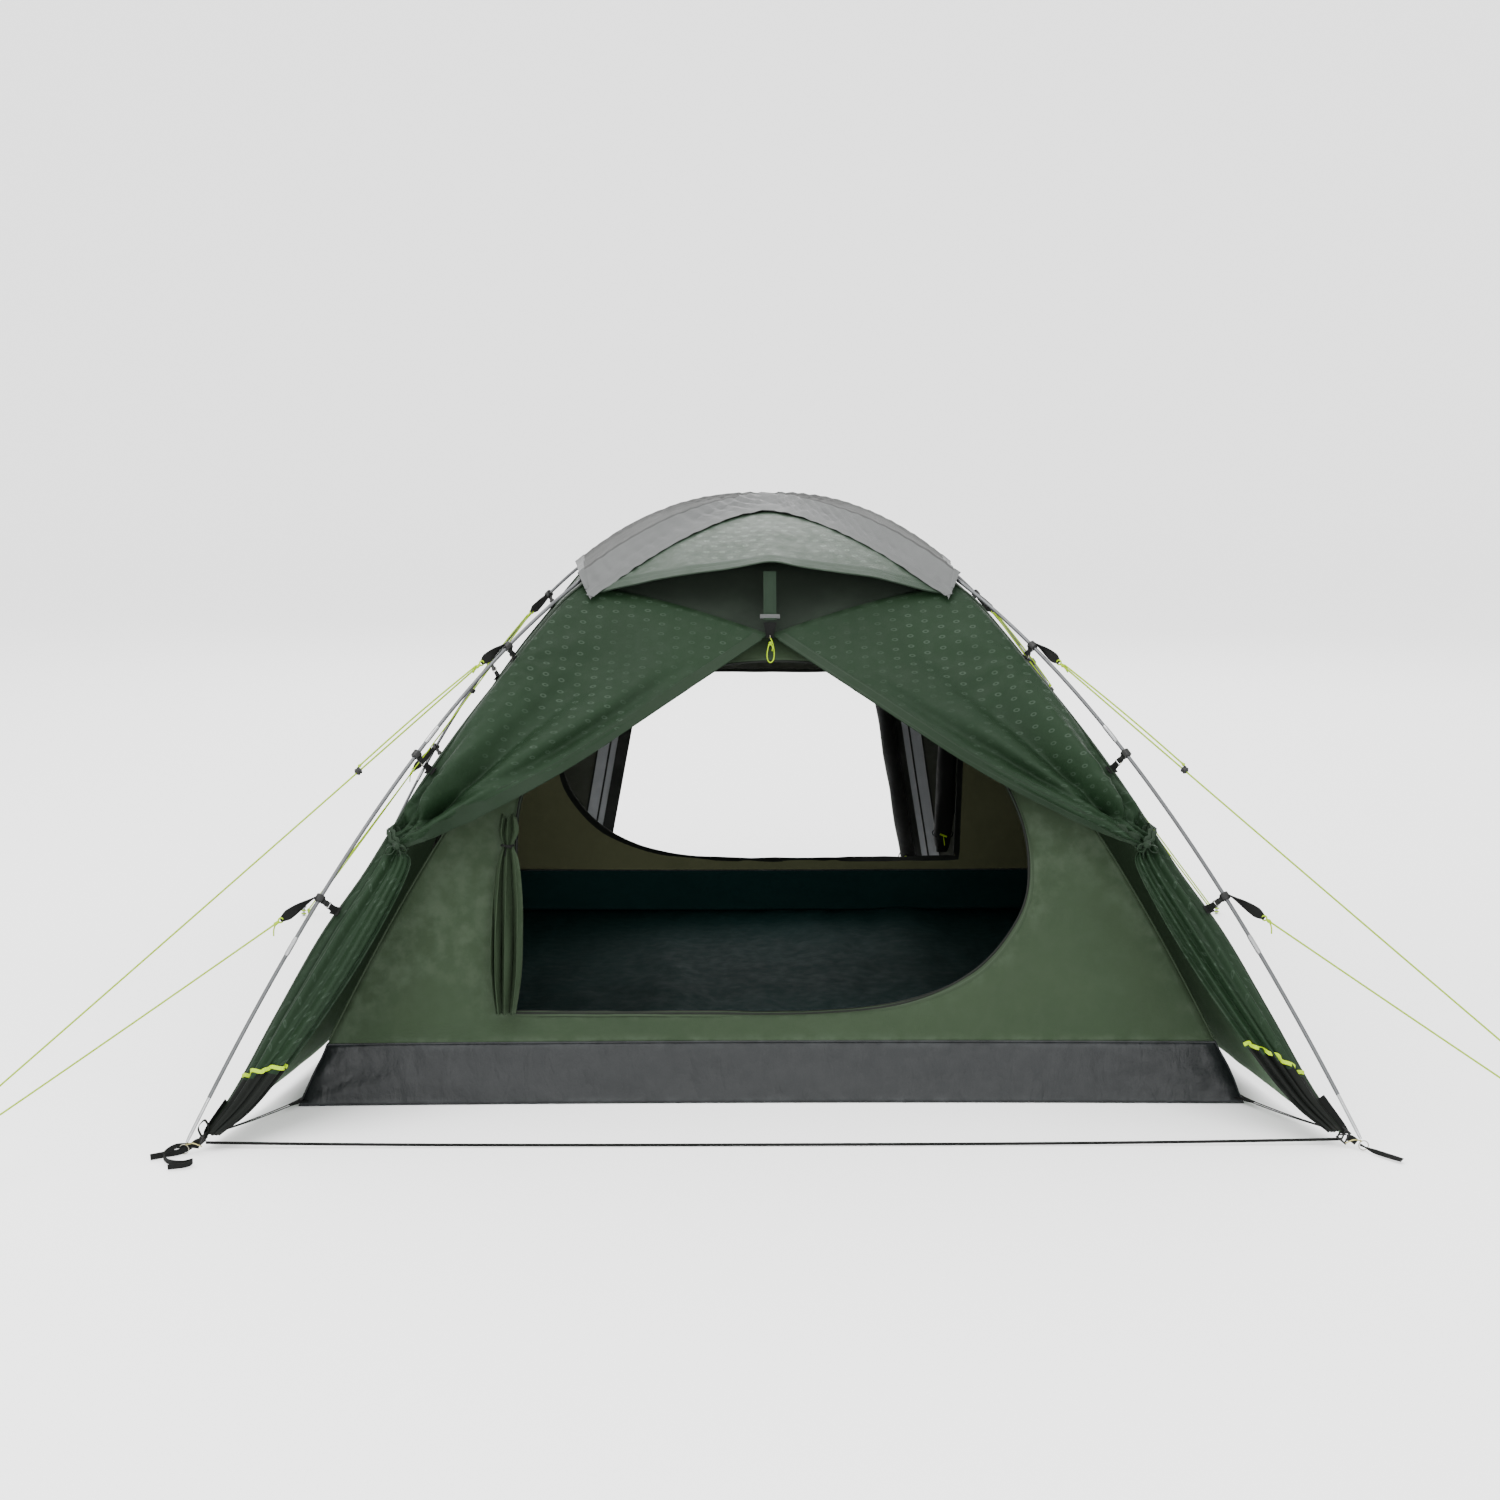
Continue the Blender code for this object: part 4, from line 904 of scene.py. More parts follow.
def rear_wall(m):
    r = np.concatenate([np.linspace(0.3, LINTEL_R, 34), np.linspace(0.614, HEM_R, 44)])
    lintel = 33
    n_side, n_mid = 22, 26
    z = arch_z(r) - drop(r)
    jamb = np.where(r > 0.606, np.interp(z, (0.03, 0.72), (0.485, 0.35)), 0.35 * r / LINTEL_R)
    rows = []
    for k in range(len(r)):
        outer = FOOT_X * r[k] - SEAM
        left = np.linspace(-outer, -jamb[k], n_side + 1)
        middle = np.linspace(-jamb[k], jamb[k], n_mid + 1)[1:-1]
        rows.append(np.concatenate([left, middle, -left[::-1]]))
    x = np.array(rows)
    outer = (FOOT_X * r - SEAM)[:, None]
    open_to = (jamb * (r > 0.606))[:, None]
    w = np.clip((outer - np.abs(x)) / np.maximum(outer - open_to, 0.01), 0, 1)
    y = (FOOT_Y * r + SEAM)[:, None] + 0.012 * np.sin(np.pi * w)
    grid = np.stack([x, y, np.repeat(z[:, None], x.shape[1], 1)], -1)
    normals = grid_normals(grid)
    folds = np.zeros(x.shape)
    for sx in (-1, 1):
        for n, at in enumerate(CLIP_AT + (HEM_R,)):
            into = np.array((-sx, 0.0, -0.25 if at < 0.9 else 1.0))
            folds += fan(grid, normals, fly_corner(sx, 1, at), into, 6, 0.11, 0.004, n)
        lintel_corner = vec(sx * 0.35, FOOT_Y * LINTEL_R, float(arch_z(LINTEL_R) - drop(LINTEL_R)))
        folds += fan(grid, normals, lintel_corner, (sx * 0.7, 0.0, 0.7), 5, 0.12, 0.004, 1.0)
    folds += 0.006 * rough_field(grid, 2.8, 17.0) + 0.002 * rough_field(grid, 12.0, 4.0)
    ease = np.minimum(1, (outer - np.abs(x)) / 0.05) * np.minimum(1, (r - 0.3) / 0.03)[:, None]
    grid = push(grid, folds * ease)
    doorway = slice(n_side, n_side + n_mid)
    keep = np.ones((len(r) - 1, x.shape[1] - 1), bool)
    keep[lintel:, doorway] = False
    slots = np.repeat((r[:-1, None] > VALANCE_R) * 2, x.shape[1] - 1, axis=1)
    obj = cloth("fly_rear_wall", grid, (m["fly"], m["rear_in"], m["valance"]), keep=keep, slot_of=slots)
    trim = Pieces()
    inside = push(grid, -0.003)
    outside = push(grid, 0.0015)
    for sign, column in ((-1, n_side), (1, n_side + n_mid)):
        edge = inside[lintel:, column]
        away = np.array((sign, 0.0, 0.0))
        strip_between(trim, edge, edge + away * 0.034, 0.0014, 0)
        for start, width, slot in ((0.036, 0.017, 1), (0.054, 0.004, 0), (0.059, 0.03, 1),
                                   (0.09, 0.004, 0)):
            strip_between(trim, beside(inside[lintel:], column, sign, start),
                          beside(inside[lintel:], column, sign, start + width), 0.001, slot)
        strip_between(trim, outside[lintel:, column], beside(outside[lintel:], column, sign, 0.022),
                      0.0012, 2)
    lintel_in = inside[lintel, n_side:n_side + n_mid + 1]
    strip_between(trim, lintel_in, lintel_in + np.array((0, -0.006, 0.022)), 0.0014, 0)
    lintel_out = outside[lintel, n_side:n_side + n_mid + 1]
    strip_between(trim, lintel_out, outside[lintel - 2, n_side:n_side + n_mid + 1], 0.0012, 2)
    trim_obj = trim.build("fly_rear_trim", [m["binding"], m["strip"], m["hem"]])
    row = int(np.argmax(r > VALANCE_R))
    for name, columns in (("left", slice(0, n_side + 1)), ("right", slice(n_side + n_mid, None))):
        pipe = Pieces()
        pipe.tube([Vector(p) for p in outside[row, columns]], 0.0019, 0, 8)
        pipe.build("fly_rear_piping_" + name, [m["piping"]])


def beside(rows, column, sign, off):
    """The points of a cloth that lie a distance outwards from one of its columns."""
    points = []
    for row in rows:
        order = np.argsort(sign * row[:, 0])
        x = abs(row[column, 0]) + off
        points.append([np.interp(x, sign * row[order, 0], row[order, k]) for k in range(3)])
    return np.array(points)


def crown(m):
    half = ((CROWN_FRONT, CROWN_REAR), (0.33, 0.365), (0.3, 0.3), (0.22, 0.22), (0.14, 0.14),
            (0.06, 0.06), (0.01, 0.01))
    table = np.array([(-1 + k / 6, f, b) for k, (f, b) in enumerate(half)])
    a = np.linspace(-1, 0, 40)
    front = np.interp(a, table[:, 0], table[:, 1])
    back = np.interp(a, table[:, 0], table[:, 2])
    side = np.concatenate([np.full(40, -1.0), np.full(39, 1.0)])
    front = np.concatenate([front, front[-2::-1]])
    back = np.concatenate([back, back[-2::-1]])
    outness = np.concatenate([np.linspace(1, 0, 40), np.linspace(0, 1, 40)[1:]])
    t = np.concatenate([np.linspace(-0.1, -0.004, 10), np.linspace(0, 1, 62),
                        np.linspace(1.004, 1.1, 10)])
    s = np.clip(t, 0, 1)
    last = np.clip((outness - 0.86) / 0.14, 0, 1)
    band = lerp(SLEEVE_BAND, 0.06, last)
    tuck = 0.03 * last
    past = np.clip(np.abs(t - 0.5) - 0.5, 0, 0.1) / 0.1 * np.sign(t - 0.5)
    x = (side * FOOT_X * front)[:, None] * (1 - s) + (side * FOOT_X * back)[:, None] * s
    y = (-FOOT_Y * front)[:, None] * (1 - s) + (FOOT_Y * back)[:, None] * s
    wide = band + 0.085 * (1 - outness) ** 1.5
    y = y + np.where(past < 0, wide[:, None], band[:, None]) * past
    x = x - (side * tuck)[:, None] * np.abs(past)
    sag = 0.01 * 4 * s * (1 - s) * np.abs(x) / FOOT_X
    over = np.where(past < 0, hood_lift(x, y), 0)
    grid = np.stack([x, y, roof_z(x, y) + 0.0165 - 0.0085 * np.abs(past) - sag + over], -1)
    # distance from the line of the nearer pole, across it
    line = (np.abs(y) / FOOT_Y - np.abs(x) / FOOT_X) * FOOT_X * 0.7
    front_side = line > 0
    ridge = 0.0045 * np.exp(-(line / 0.01) ** 2)
    groove = -0.0034 * np.exp(-((np.abs(line) - 0.034) / 0.004) ** 2)
    along = np.hypot(x, y)
    warped = along + 0.04 * rough_field(grid, 5.0, 2.0)
    pucker = 0.0042 * np.sin(warped * 2 * np.pi / 0.043)
    pucker = pucker * np.exp(-(np.abs(line) - 0.04) ** 2 / 0.045 ** 2)
    pucker = pucker * (0.4 + 0.6 * np.clip(1 - along / 0.35, 0, 1)) * (1 + 0.5 * front_side)
    amount = ridge + groove + pucker
    loose = (1 - front_side) * np.clip(np.abs(line) / 0.08, 0, 1)
    amount = amount + 0.004 * rough_field(grid, 4.5, 9.0) * loose
    amount = amount + 0.0012 * rough_field(grid, 21.0, 1.0, (1, 0.5, 1))
    normals = grid_normals(grid)
    up = np.where(normals[..., 2:] < 0, -1.0, 1.0)
    grid = grid + normals * up * amount[..., None]
    # painted shade: the rear half and the cloth behind the pole line take the darker, shaded copy of
    # the crown cloth
    slots = np.where(line[:-1, :-1] > 0.004, 0, 2)
    slots = np.where((t < 0.5)[None, :-1], slots, 2)
    obj = cloth("crown_roof", grid, (m["crown"], m["crown_in"], m["crown_back"]), slot_of=slots)
    hem = Pieces()
    raised = grid + normals * up * HEM_OFF
    for edge, inner in ((0, 2), (-1, -3)):
        strip_between(hem, raised[2:-2, edge], raised[2:-2, inner], 0.001)
    for edge, inner in ((0, 2), (-1, -3)):
        strip_between(hem, raised[edge, 4:-4], raised[inner, 4:-4], 0.001)
    hem_obj = hem.build("crown_hem", [m["crown_hem"]])


def hood(m, name, sy):
    levels = np.linspace(0.055, 0.385, 44)
    u = np.linspace(-1, 1, 61)
    rr, uu = np.meshgrid(levels, u, indexing="ij")
    reach = (np.maximum(0, rr - 0.09) / 0.295) ** 1.5
    half = np.maximum(0.01, FOOT_X * rr - 0.06)
    arch = (1 - uu ** 2) ** 1.5
    peak = 0.006 * np.exp(-(uu / 0.1) ** 2) * reach ** 3
    y = FOOT_Y * rr + 0.043 * reach * arch
    z = arch_z(rr) + 0.002 + HOOD_LIFT * reach * arch + peak
    grid = np.stack([uu * half, sy * y, z], -1)
    amount = 0.0035 * rough_field(grid, 6.0, 4.0 * sy) + 0.0012 * rough_field(grid, 19.0, 8.0)
    amount = amount + 0.003 * np.cos(uu * 9) * reach * arch * (rr > 0.2)
    ease = np.minimum(1, (1 - np.abs(uu)) / 0.12) * np.clip((rr - 0.09) / 0.05, 0, 1)
    grid = push(grid, amount * ease)
    obj = cloth(name, grid, (m["hood"], m["fly_in"]))
    hem = Pieces()
    for shift in (HEM_OFF, -HEM_OFF):
        layer = push(grid, shift)
        strip_between(hem, layer[-1], layer[-4], 0.0012)
    hem_obj = hem.build(name + "_hem", [m["hood_hem"]])


def vent_net(m):
    heads = []
    for r in np.linspace(0.28, 0.345, 10):
        half = FOOT_X * min(r, 0.33) - 0.014
        heads.append([(h, -FOOT_Y * r, float(arch_z(r)) - 0.014) for h in np.linspace(-half, half, 41)])
    grid = np.array(heads[:8])
    last = []
    for k in range(41):
        u = -1 + k / 20
        corner = fly_corner(1, -1, 0.35) + vec(-SEAM, -SEAM, 0)
        head = lerp(corner, vec(0.002, ZIP_TOP.y, ZIP_TOP.z), 1 - abs(u) * 0.97)
        head += vec(0, -0.004, 0.01) * math.sin(math.pi * (1 - abs(u) * 0.97))
        last.append((math.copysign(head.x, u) if u else 0.0, head.y - 0.004, head.z - 0.011))
    last = np.array(last)
    top = grid[5]
    rows = [top + (last - top) * t for t in np.linspace(0, 1, 12)]
    grid = np.concatenate([grid[:5], np.array(rows)])
    grid = push(grid, 0.002 * rough_field(grid, 14.0, 3.0))
    obj = cloth("vent_mesh_front", grid, (m["net"], m["net"]), thick=0.0008)


def spiral_roll(name, path, radii, paint):
    """A door rolled up: one long sheet in a spiral, tied at both ends."""
    turns = 4
    line = curve_through(path, 9)
    sizes = np.interp(np.linspace(0, 1, len(line)), np.linspace(0, 1, len(radii)), radii)
    steps = turns * 20
    rows = []
    for k, (point, size) in enumerate(zip(line, sizes)):
        row = []
        for n in range(steps + 1):
            t = n / steps
            angle = 2 * math.pi * turns * t + 0.25 * math.sin(k * 0.31)
            dent = 1 + 0.05 * math.sin(3 * angle + 0.4 * k) * t
            r = lerp(0.12, 1.0, t) * size * dent
            row.append((point.x + r * math.cos(angle), point.y + r * math.sin(angle), point.z))
        rows.append(row)
    grid = np.array(rows)
    obj = cloth(name, grid, (paint, paint), centre=np.array(line[len(line) // 2]))
    size = area_of(grid)
    return line, sizes


def roll_ties(m, name, line, sizes, marks):
    ties = Pieces()
    for at in marks:
        k = int(at * (len(line) - 1))
        ahead = (line[k + 1] - line[k - 1]).normalized()
        ties.ring(line[k], ahead, sizes[k] * 1.07 + 0.001, 0.0017, 0, 28)
        front = line[k] + vec(0, -1, 0) * (sizes[k] + 0.004)
        ties.tube([front + vec(-0.01, -0.001, 0.004), front + vec(0.01, -0.001, -0.004)],
                  0.0026, 1, 10)
        ties.tube([front, front + vec(0.002, -0.002, -0.016), front + vec(0.004, 0, -0.03)],
                  0.0011, 1, 8)
    ties.build(name, [m["webbing"], m["cord"]])


def rear_rolls(m):
    path, radii = [], []
    for k, z in enumerate((0.74, 0.71, 0.6, 0.48, 0.36, 0.24, 0.13, 0.09)):
        r = ((APEX_Z - z - 0.085) / APEX_Z) ** (1 / ARCH)
        x = float(np.interp(z, (0.03, 0.72), (0.485, 0.35))) - 0.012
        path.append(vec(x, FOOT_Y * r - 0.055, z))
        radii.append(0.014 if k in (0, 7) else 0.024 + 0.002 * (k % 2))
    line, sizes = spiral_roll("fly_rear_door_roll", path, radii, m["black"])
    roll_ties(m, "fly_rear_roll_ties", line, sizes, (0.1, 0.86))
    path = [vec(0.535 - 0.06 * (z - 0.4) ** 2, inner_corner(1, 1, inner_rho(z)).y - 0.048, z)
            for z in (0.7, 0.67, 0.58, 0.46, 0.34, 0.24, 0.2)]
    radii = (0.014, 0.026, 0.03, 0.029, 0.03, 0.026, 0.016)
    line, sizes = spiral_roll("inner_rear_door_roll", path, radii, m["black"])
    roll_ties(m, "inner_rear_roll_ties", line, sizes, (0.16, 0.8))


def tie_knots(m):
    """Straps that hold the gathered front doors back to the poles."""
    for name, sx in HANDS:
        ties = Pieces()
        corner = fly_corner(sx, -1, KNOT_R)
        knot = vec(-sx * KNOT.x, KNOT.y, KNOT.z)
        middle = (corner + knot) / 2 + vec(0, -0.004, 0)
        across = (knot - corner).normalized()
        flow = vec(sx * 0.45, -0.2, -0.86)
        flow = (flow - across * flow.dot(across)).normalized()
        depth = across.cross(flow)
        for shift in (-0.006, 0.005):
            loop = [middle + flow * (shift + 0.003 * math.sin(2 * k))
                    + across * (0.034 * math.cos(2 * math.pi * k / 30))
                    + depth * (0.019 * math.sin(2 * math.pi * k / 30)) for k in range(30)]
            ties.strap(loop, 0.009, 0.0022, 0, flow, True)
        front = middle + vec(sx * 0.002, -0.022, 0.0) + across * 0.012
        ties.blob(front, across, 0.022, 0.0085, 0, 0.15)
        for turn, size in ((0.6, 0.03), (2.3, 0.026)):
            arm = vec(math.cos(turn) * sx, -0.25, math.sin(turn) - 1.1).normalized()
            lean = vec(arm.z, 0.3, -arm.x).normalized()
            ear = curve_through([front, front + arm * size * 0.6 + lean * 0.008, front + arm * size,
                                 front + arm * size * 0.6 - lean * 0.008, front], 6)
            ties.strap(ear, 0.0065, 0.0014, 0, (0, 1, 0.2))
        ties.tube(curve_through([front, front + vec(-sx * 0.008, -0.004, -0.016),
                                 front + vec(-sx * 0.006, 0.000, -0.04)], 6), 0.0021, 0)
        ties.build("door_tie_" + name, [m["hem"]])


def struts(m):
    for name, sy in (("vent_strut_front", -1), ("vent_strut_rear", 1)):
        top = vec(0, sy * 0.508, 1.148)
        low = vec(0, sy * 0.548, 1.04 if sy < 0 else 1.05)
        p = Pieces()
        path = curve_through([top, lerp(top, low, 0.35) + vec(0, sy * 0.001, 0),
                              lerp(top, low, 0.7), low], 6)
        p.strap(path, 0.03, 0.0026, 0)
        p.strap([q + vec(0, sy * 0.0016, 0) for q in path[2:-3]], 0.018, 0.0012, 0)
        bar = lerp(top, low, 0.93)
        p.strap([bar + vec(-0.023, 0, 0), bar + vec(-0.01, 0, 0),
                 bar + vec(0.01, 0, 0), bar + vec(0.023, 0, 0)], 0.01, 0.0052, 1, (0, 0, 1))
        p.build(name, [m["strap"], m["grey_plastic"]], body=name, replaces=[name])
    pad = Pieces()
    top = vec(0.0, -0.549, 1.034)
    path = curve_through([top + vec(0, 0.002, 0.0), vec(0, -0.545, 1.02),
                          vec(0, -0.541, 1.006), vec(0, -0.538, 0.996)], 5)
    pad.strap(path, [lerp(0.03, 0.012, k / (len(path) - 1)) for k in range(len(path))], 0.002, 0)
    pad.build("zip_garage", [m["webbing"]])


def zip_pull(m):
    top = vec(0.0, ZIP_TOP.y - 0.012, ZIP_TOP.z - 0.006)
    route = [(0.0, 0.0, 0.0), (0.005, -0.002, -0.01), (0.0085, -0.004, -0.024), (0.01, -0.005, -0.04),
             (0.0075, -0.005, -0.053), (0.001, -0.005, -0.058), (-0.005, -0.005, -0.052),
             (-0.0065, -0.005, -0.04), (-0.0045, -0.0045, -0.026), (-0.0015, -0.0045, -0.014)]
    line = curve_through([top + Vector(p) for p in route], 5)
    p = Pieces()
    p.tube(line, 0.0013, 0, 10, (0.1, 1.0, 0.2))
    cord = p.build("zip_pull_cord", [m["cord"]], body="zip_pull",
                   replaces=["zip_pull_cord"])
    k = Pieces()
    k.blob(top + vec(0.001, -0.004, -0.014), (0.3, 0, 1), 0.01, 0.004, 0, 0.2)
    k.ring(top + vec(0.0, 0.000, 0.001), (1, 0.2, 0), 0.0035, 0.0008, 1, 20)
    k.tube(curve_through([top + vec(0.002, -0.006, -0.014), top + vec(0.006, -0.008, -0.022),
                          top + vec(0.005, -0.007, -0.031)], 5), 0.0012, 0, 8)
    knot = k.build("zip_pull_knot", [m["cord"], m["steel"]], body="zip_pull")


# ---- inner tent
D_DOOR = ((-0.575, 0.6), (-0.575, 0.33), (-0.575, 0.195), (-0.4, 0.193), (-0.15, 0.192),
          (0.1, 0.193), (0.3, 0.215), (0.45, 0.28), (0.545, 0.38), (0.58, 0.48),
          (0.565, 0.61), (0.49, 0.745), (0.36, 0.86), (0.18, 0.925), (-0.02, 0.94),
          (-0.25, 0.905), (-0.43, 0.81), (-0.54, 0.7))
WALL_RIM = ((-1, 0.6), (-1, 0.33), (-1, 0.1335), (-0.6, 0.1335), (-0.25, 0.1335), (0.12, 0.1335),
            (0.5, 0.1335), (1, 0.1335), (1, 0.29), (1, 0.45), (1, 0.62), (1, 0.8), (1, 0.99),
            (1, 1.12), (0, 1.155), (-1, 1.08), (-1, 0.93), (-1, 0.77))


def inner_surface(x, z, sy):
    rho = inner_rho(min(z, INNER_Z - 0.002))
    corner = inner_corner(1, 1, rho)
    bow = 0.015 * max(0.0, 1 - (x / max(corner.x, 0.05)) ** 2) * min(1.0, rho * 1.3)
    return vec(x, sy * (corner.y + SEAM - bow), z)


def door_outline(sill, mirror, per=7):
    """The D-shaped doorway, straight at its hinge side and sill and round elsewhere."""
    hole = [(x * mirror, sill + (z - 0.192) * (0.94 - sill) / 0.748) for x, z in D_DOOR]
    line = []
    n = len(hole)
    for k in range(n):
        a, b = hole[k], hole[(k + 1) % n]
        before, after = hole[k - 1], hole[(k + 2) % n]
        for s in range(per):
            t = s / per
            if k < 4:
                point = (lerp(a[0], b[0], t), lerp(a[1], b[1], t))
            else:
                point = tuple(0.5 * (2 * a[c] + (b[c] - before[c]) * t
                                     + (2 * before[c] - 5 * a[c] + 4 * b[c] - after[c]) * t ** 2
                                     + (3 * a[c] - before[c] - 3 * b[c] + after[c]) * t ** 3)
                              for c in (0, 1))
            line.append(point)
    return line


def inner_wall(m, name, sy, mirror, sill):
    per = 7
    hole = door_outline(sill, mirror, per)
    n = len(WALL_RIM)
    rim = []
    for k in range(n):
        (side, z), (side2, z2) = WALL_RIM[k], WALL_RIM[(k + 1) % n]
        for s in range(per):
            t = s / per
            zz = lerp(z, z2, t)
            here = inner_corner(1, 1, inner_rho(zz)).x - SEAM
            if abs(side) == 1 and side == side2:
                x = side * here
            else:
                x0 = side * (inner_corner(1, 1, inner_rho(z)).x - SEAM) if abs(side) == 1 else side
                x1 = side2 * (inner_corner(1, 1, inner_rho(z2)).x - SEAM) if abs(side2) == 1 else side2
                x = lerp(x0, x1, t)
            rim.append((x * mirror, zz))
    rows = []
    for t in np.linspace(0, 1, 24):
        rows.append([tuple(inner_surface(lerp(h[0], o[0], t), lerp(h[1], o[1], t), sy))
                     for h, o in zip(hole, rim)])
    grid = np.array(rows)
    t = np.linspace(0, 1, 24)[:, None]
    normals = grid_normals(grid, True)
    folds = 0.005 * rough_field(grid, 3.0, 6.0 * sy) + 0.0014 * rough_field(grid, 16.0, 5.0)
    slant = grid[..., 0] * 0.8 + grid[..., 2] * 1.4
    folds += 0.0016 * np.sin(slant * 55 + 4 * rough_field(grid, 2.0, 1.0)) * rough_field(grid, 4.0, 2.0)
    for x, z in ((-0.575, 0.19), (0.545, 0.38)):
        anchor = inner_surface(x * mirror, z, sy)
        folds += fan(grid, normals, anchor, (-np.sign(x * mirror) * 0.6, 0, 0.8), 5, 0.12, 0.003, x)
    hold = np.minimum(1, t / 0.06) * np.minimum(1, (1 - t) / 0.06)
    offset = np.zeros(grid.shape)
    offset[..., 1] = sy * folds * hold
    grid = grid + offset
    uv = (grid[..., 0], grid[..., 2])
    obj = cloth(name, grid, (m["inner"], m["inner_in"]), ring=True, uv=uv)
    trim = Pieces()
    loop = [Vector(p) + vec(0, sy * 0.001, 0) for p in grid[0]]
    trim.tube(loop, 0.0026, 0, 8, (0, 1, 0), True)
    band = [Vector(lerp(p, q, 0.5)) + vec(0, sy * 0.0012, 0) for p, q in zip(grid[0], grid[1])]
    sides = [Vector(p - q) for p, q in zip(grid[0], grid[1])]
    trim.strap(band, 0.012, 0.0008, 1, sides, True)
    inside = [Vector(lerp(p, q, 0.5)) - vec(0, sy * 0.0014, 0) for p, q in zip(grid[0], grid[1])]
    trim.strap(inside, 0.016, 0.0008, 0, sides, True)
    trim_obj = trim.build(name + "_binding", [m["binding"], m["inner_hem"]])


def inner_side(m, name, sx):
    rho = np.linspace(0.9365, 0.025, 44)
    s = np.linspace(-1, 1, 57)
    rr, ss = np.meshgrid(rho, s, indexing="ij")
    x = INNER_X * rr - INNER_BOW * (1 - ss ** 2) * rr ** 2
    y = ss * (INNER_Y * rr ** 0.65 - SEAM)
    z = INNER_Z * (1 - rr ** INNER_ARCH)
    grid = np.stack([sx * x, y, z], -1)
    folds = 0.006 * rough_field(grid, 3.0, 2.0 * sx) + 0.0016 * rough_field(grid, 14.0, 5.0)
    ease = np.minimum(1, (1 - np.abs(ss)) / 0.05) * np.minimum(1, (0.9365 - rr) / 0.04)
    grid = push(grid, folds * ease * np.minimum(1, rr / 0.1))
    obj = cloth(name, grid, (m["inner"], m["inner_in"]))


def inner_seams(m):
    seam = Pieces()
    for sx, sy in SIDES.values():
        points = [inner_corner(sx, sy, lerp(0.9365, 0.03, k / 50)) for k in range(51)]
        seam.tube(points, 0.0024, 0, 8)
    seam.build("inner_seams", [m["inner_hem"]])


def tied_flap(m):
    """The inner door, pleated together and tied along its straight edge."""
    widths = ((0.62, 0.016), (0.585, 0.02), (0.56, 0.011), (0.535, 0.019), (0.47, 0.028),
              (0.38, 0.032), (0.28, 0.03), (0.205, 0.02))
    zs = np.linspace(0.62, 0.205, 60)
    heights, halves = zip(*sorted(widths))
    size = smooth(heights, halves, zs)
    s = np.linspace(0, 1, 121)
    rows = []
    for k, (z, r) in enumerate(zip(zs, size)):
        y0 = -inner_corner(1, 1, inner_rho(z)).y - 0.04
        turn = 2 * math.pi * 3.3 * (s + 0.06 * np.sin(5 * s))
        x = -0.59 + r * (2 * s - 1) * 1.05 + 0.1 * r * np.sin(turn * 2)
        y = y0 + r * 0.8 * np.sin(turn + 0.5 * math.sin(0.11 * k)) * (1 - 0.3 * np.abs(2 * s - 1))
        rows.append(np.stack([x, y, np.full(s.shape, z) + 0.006 * np.sin(turn * 0.5) * (k < 3)], -1))
    grid = np.array(rows)
    obj = cloth("inner_front_door_tied", grid, (m["inner"], m["inner"]), thick=0.0007,
                centre=np.array((-0.59, -0.2, 0.4)))
    tie = Pieces()
    centre = vec(-0.59, -inner_corner(1, 1, inner_rho(0.56)).y - 0.04, 0.56)
    tie.ring(centre, (0, 0.1, 1), 0.0135, 0.0022, 0, 26)
    tie.tube([centre + vec(-0.01, -0.014, 0.003), centre + vec(0.011, -0.015, -0.002)],
             0.003, 0, 10)
    tie.tube(curve_through([centre + vec(0, -0.014, 0), centre + vec(-0.004, -0.016, -0.014),
                            centre + vec(-0.003, -0.014, -0.03)], 5), 0.0011, 0, 8)
    tie.build("inner_door_tie", [m["webbing"]])


TUB_STEPS = 60             # points along each side of the tub


def tub_outline(x_half, y_half):
    points = []
    for sx, sy, ex, ey in ((-1, -1, 1, -1), (1, -1, 1, 1), (1, 1, -1, 1), (-1, 1, -1, -1)):
        for k in range(TUB_STEPS):
            t = k / TUB_STEPS
            x, y = lerp(sx, ex, t) * x_half, lerp(sy, ey, t) * y_half
            pull = INNER_BOW * 4 * t * (1 - t)
            if sy == ey:
                y -= sy * pull * 0.25
            else:
                x -= sx * pull
            points.append((x, y))
    return np.array(points)


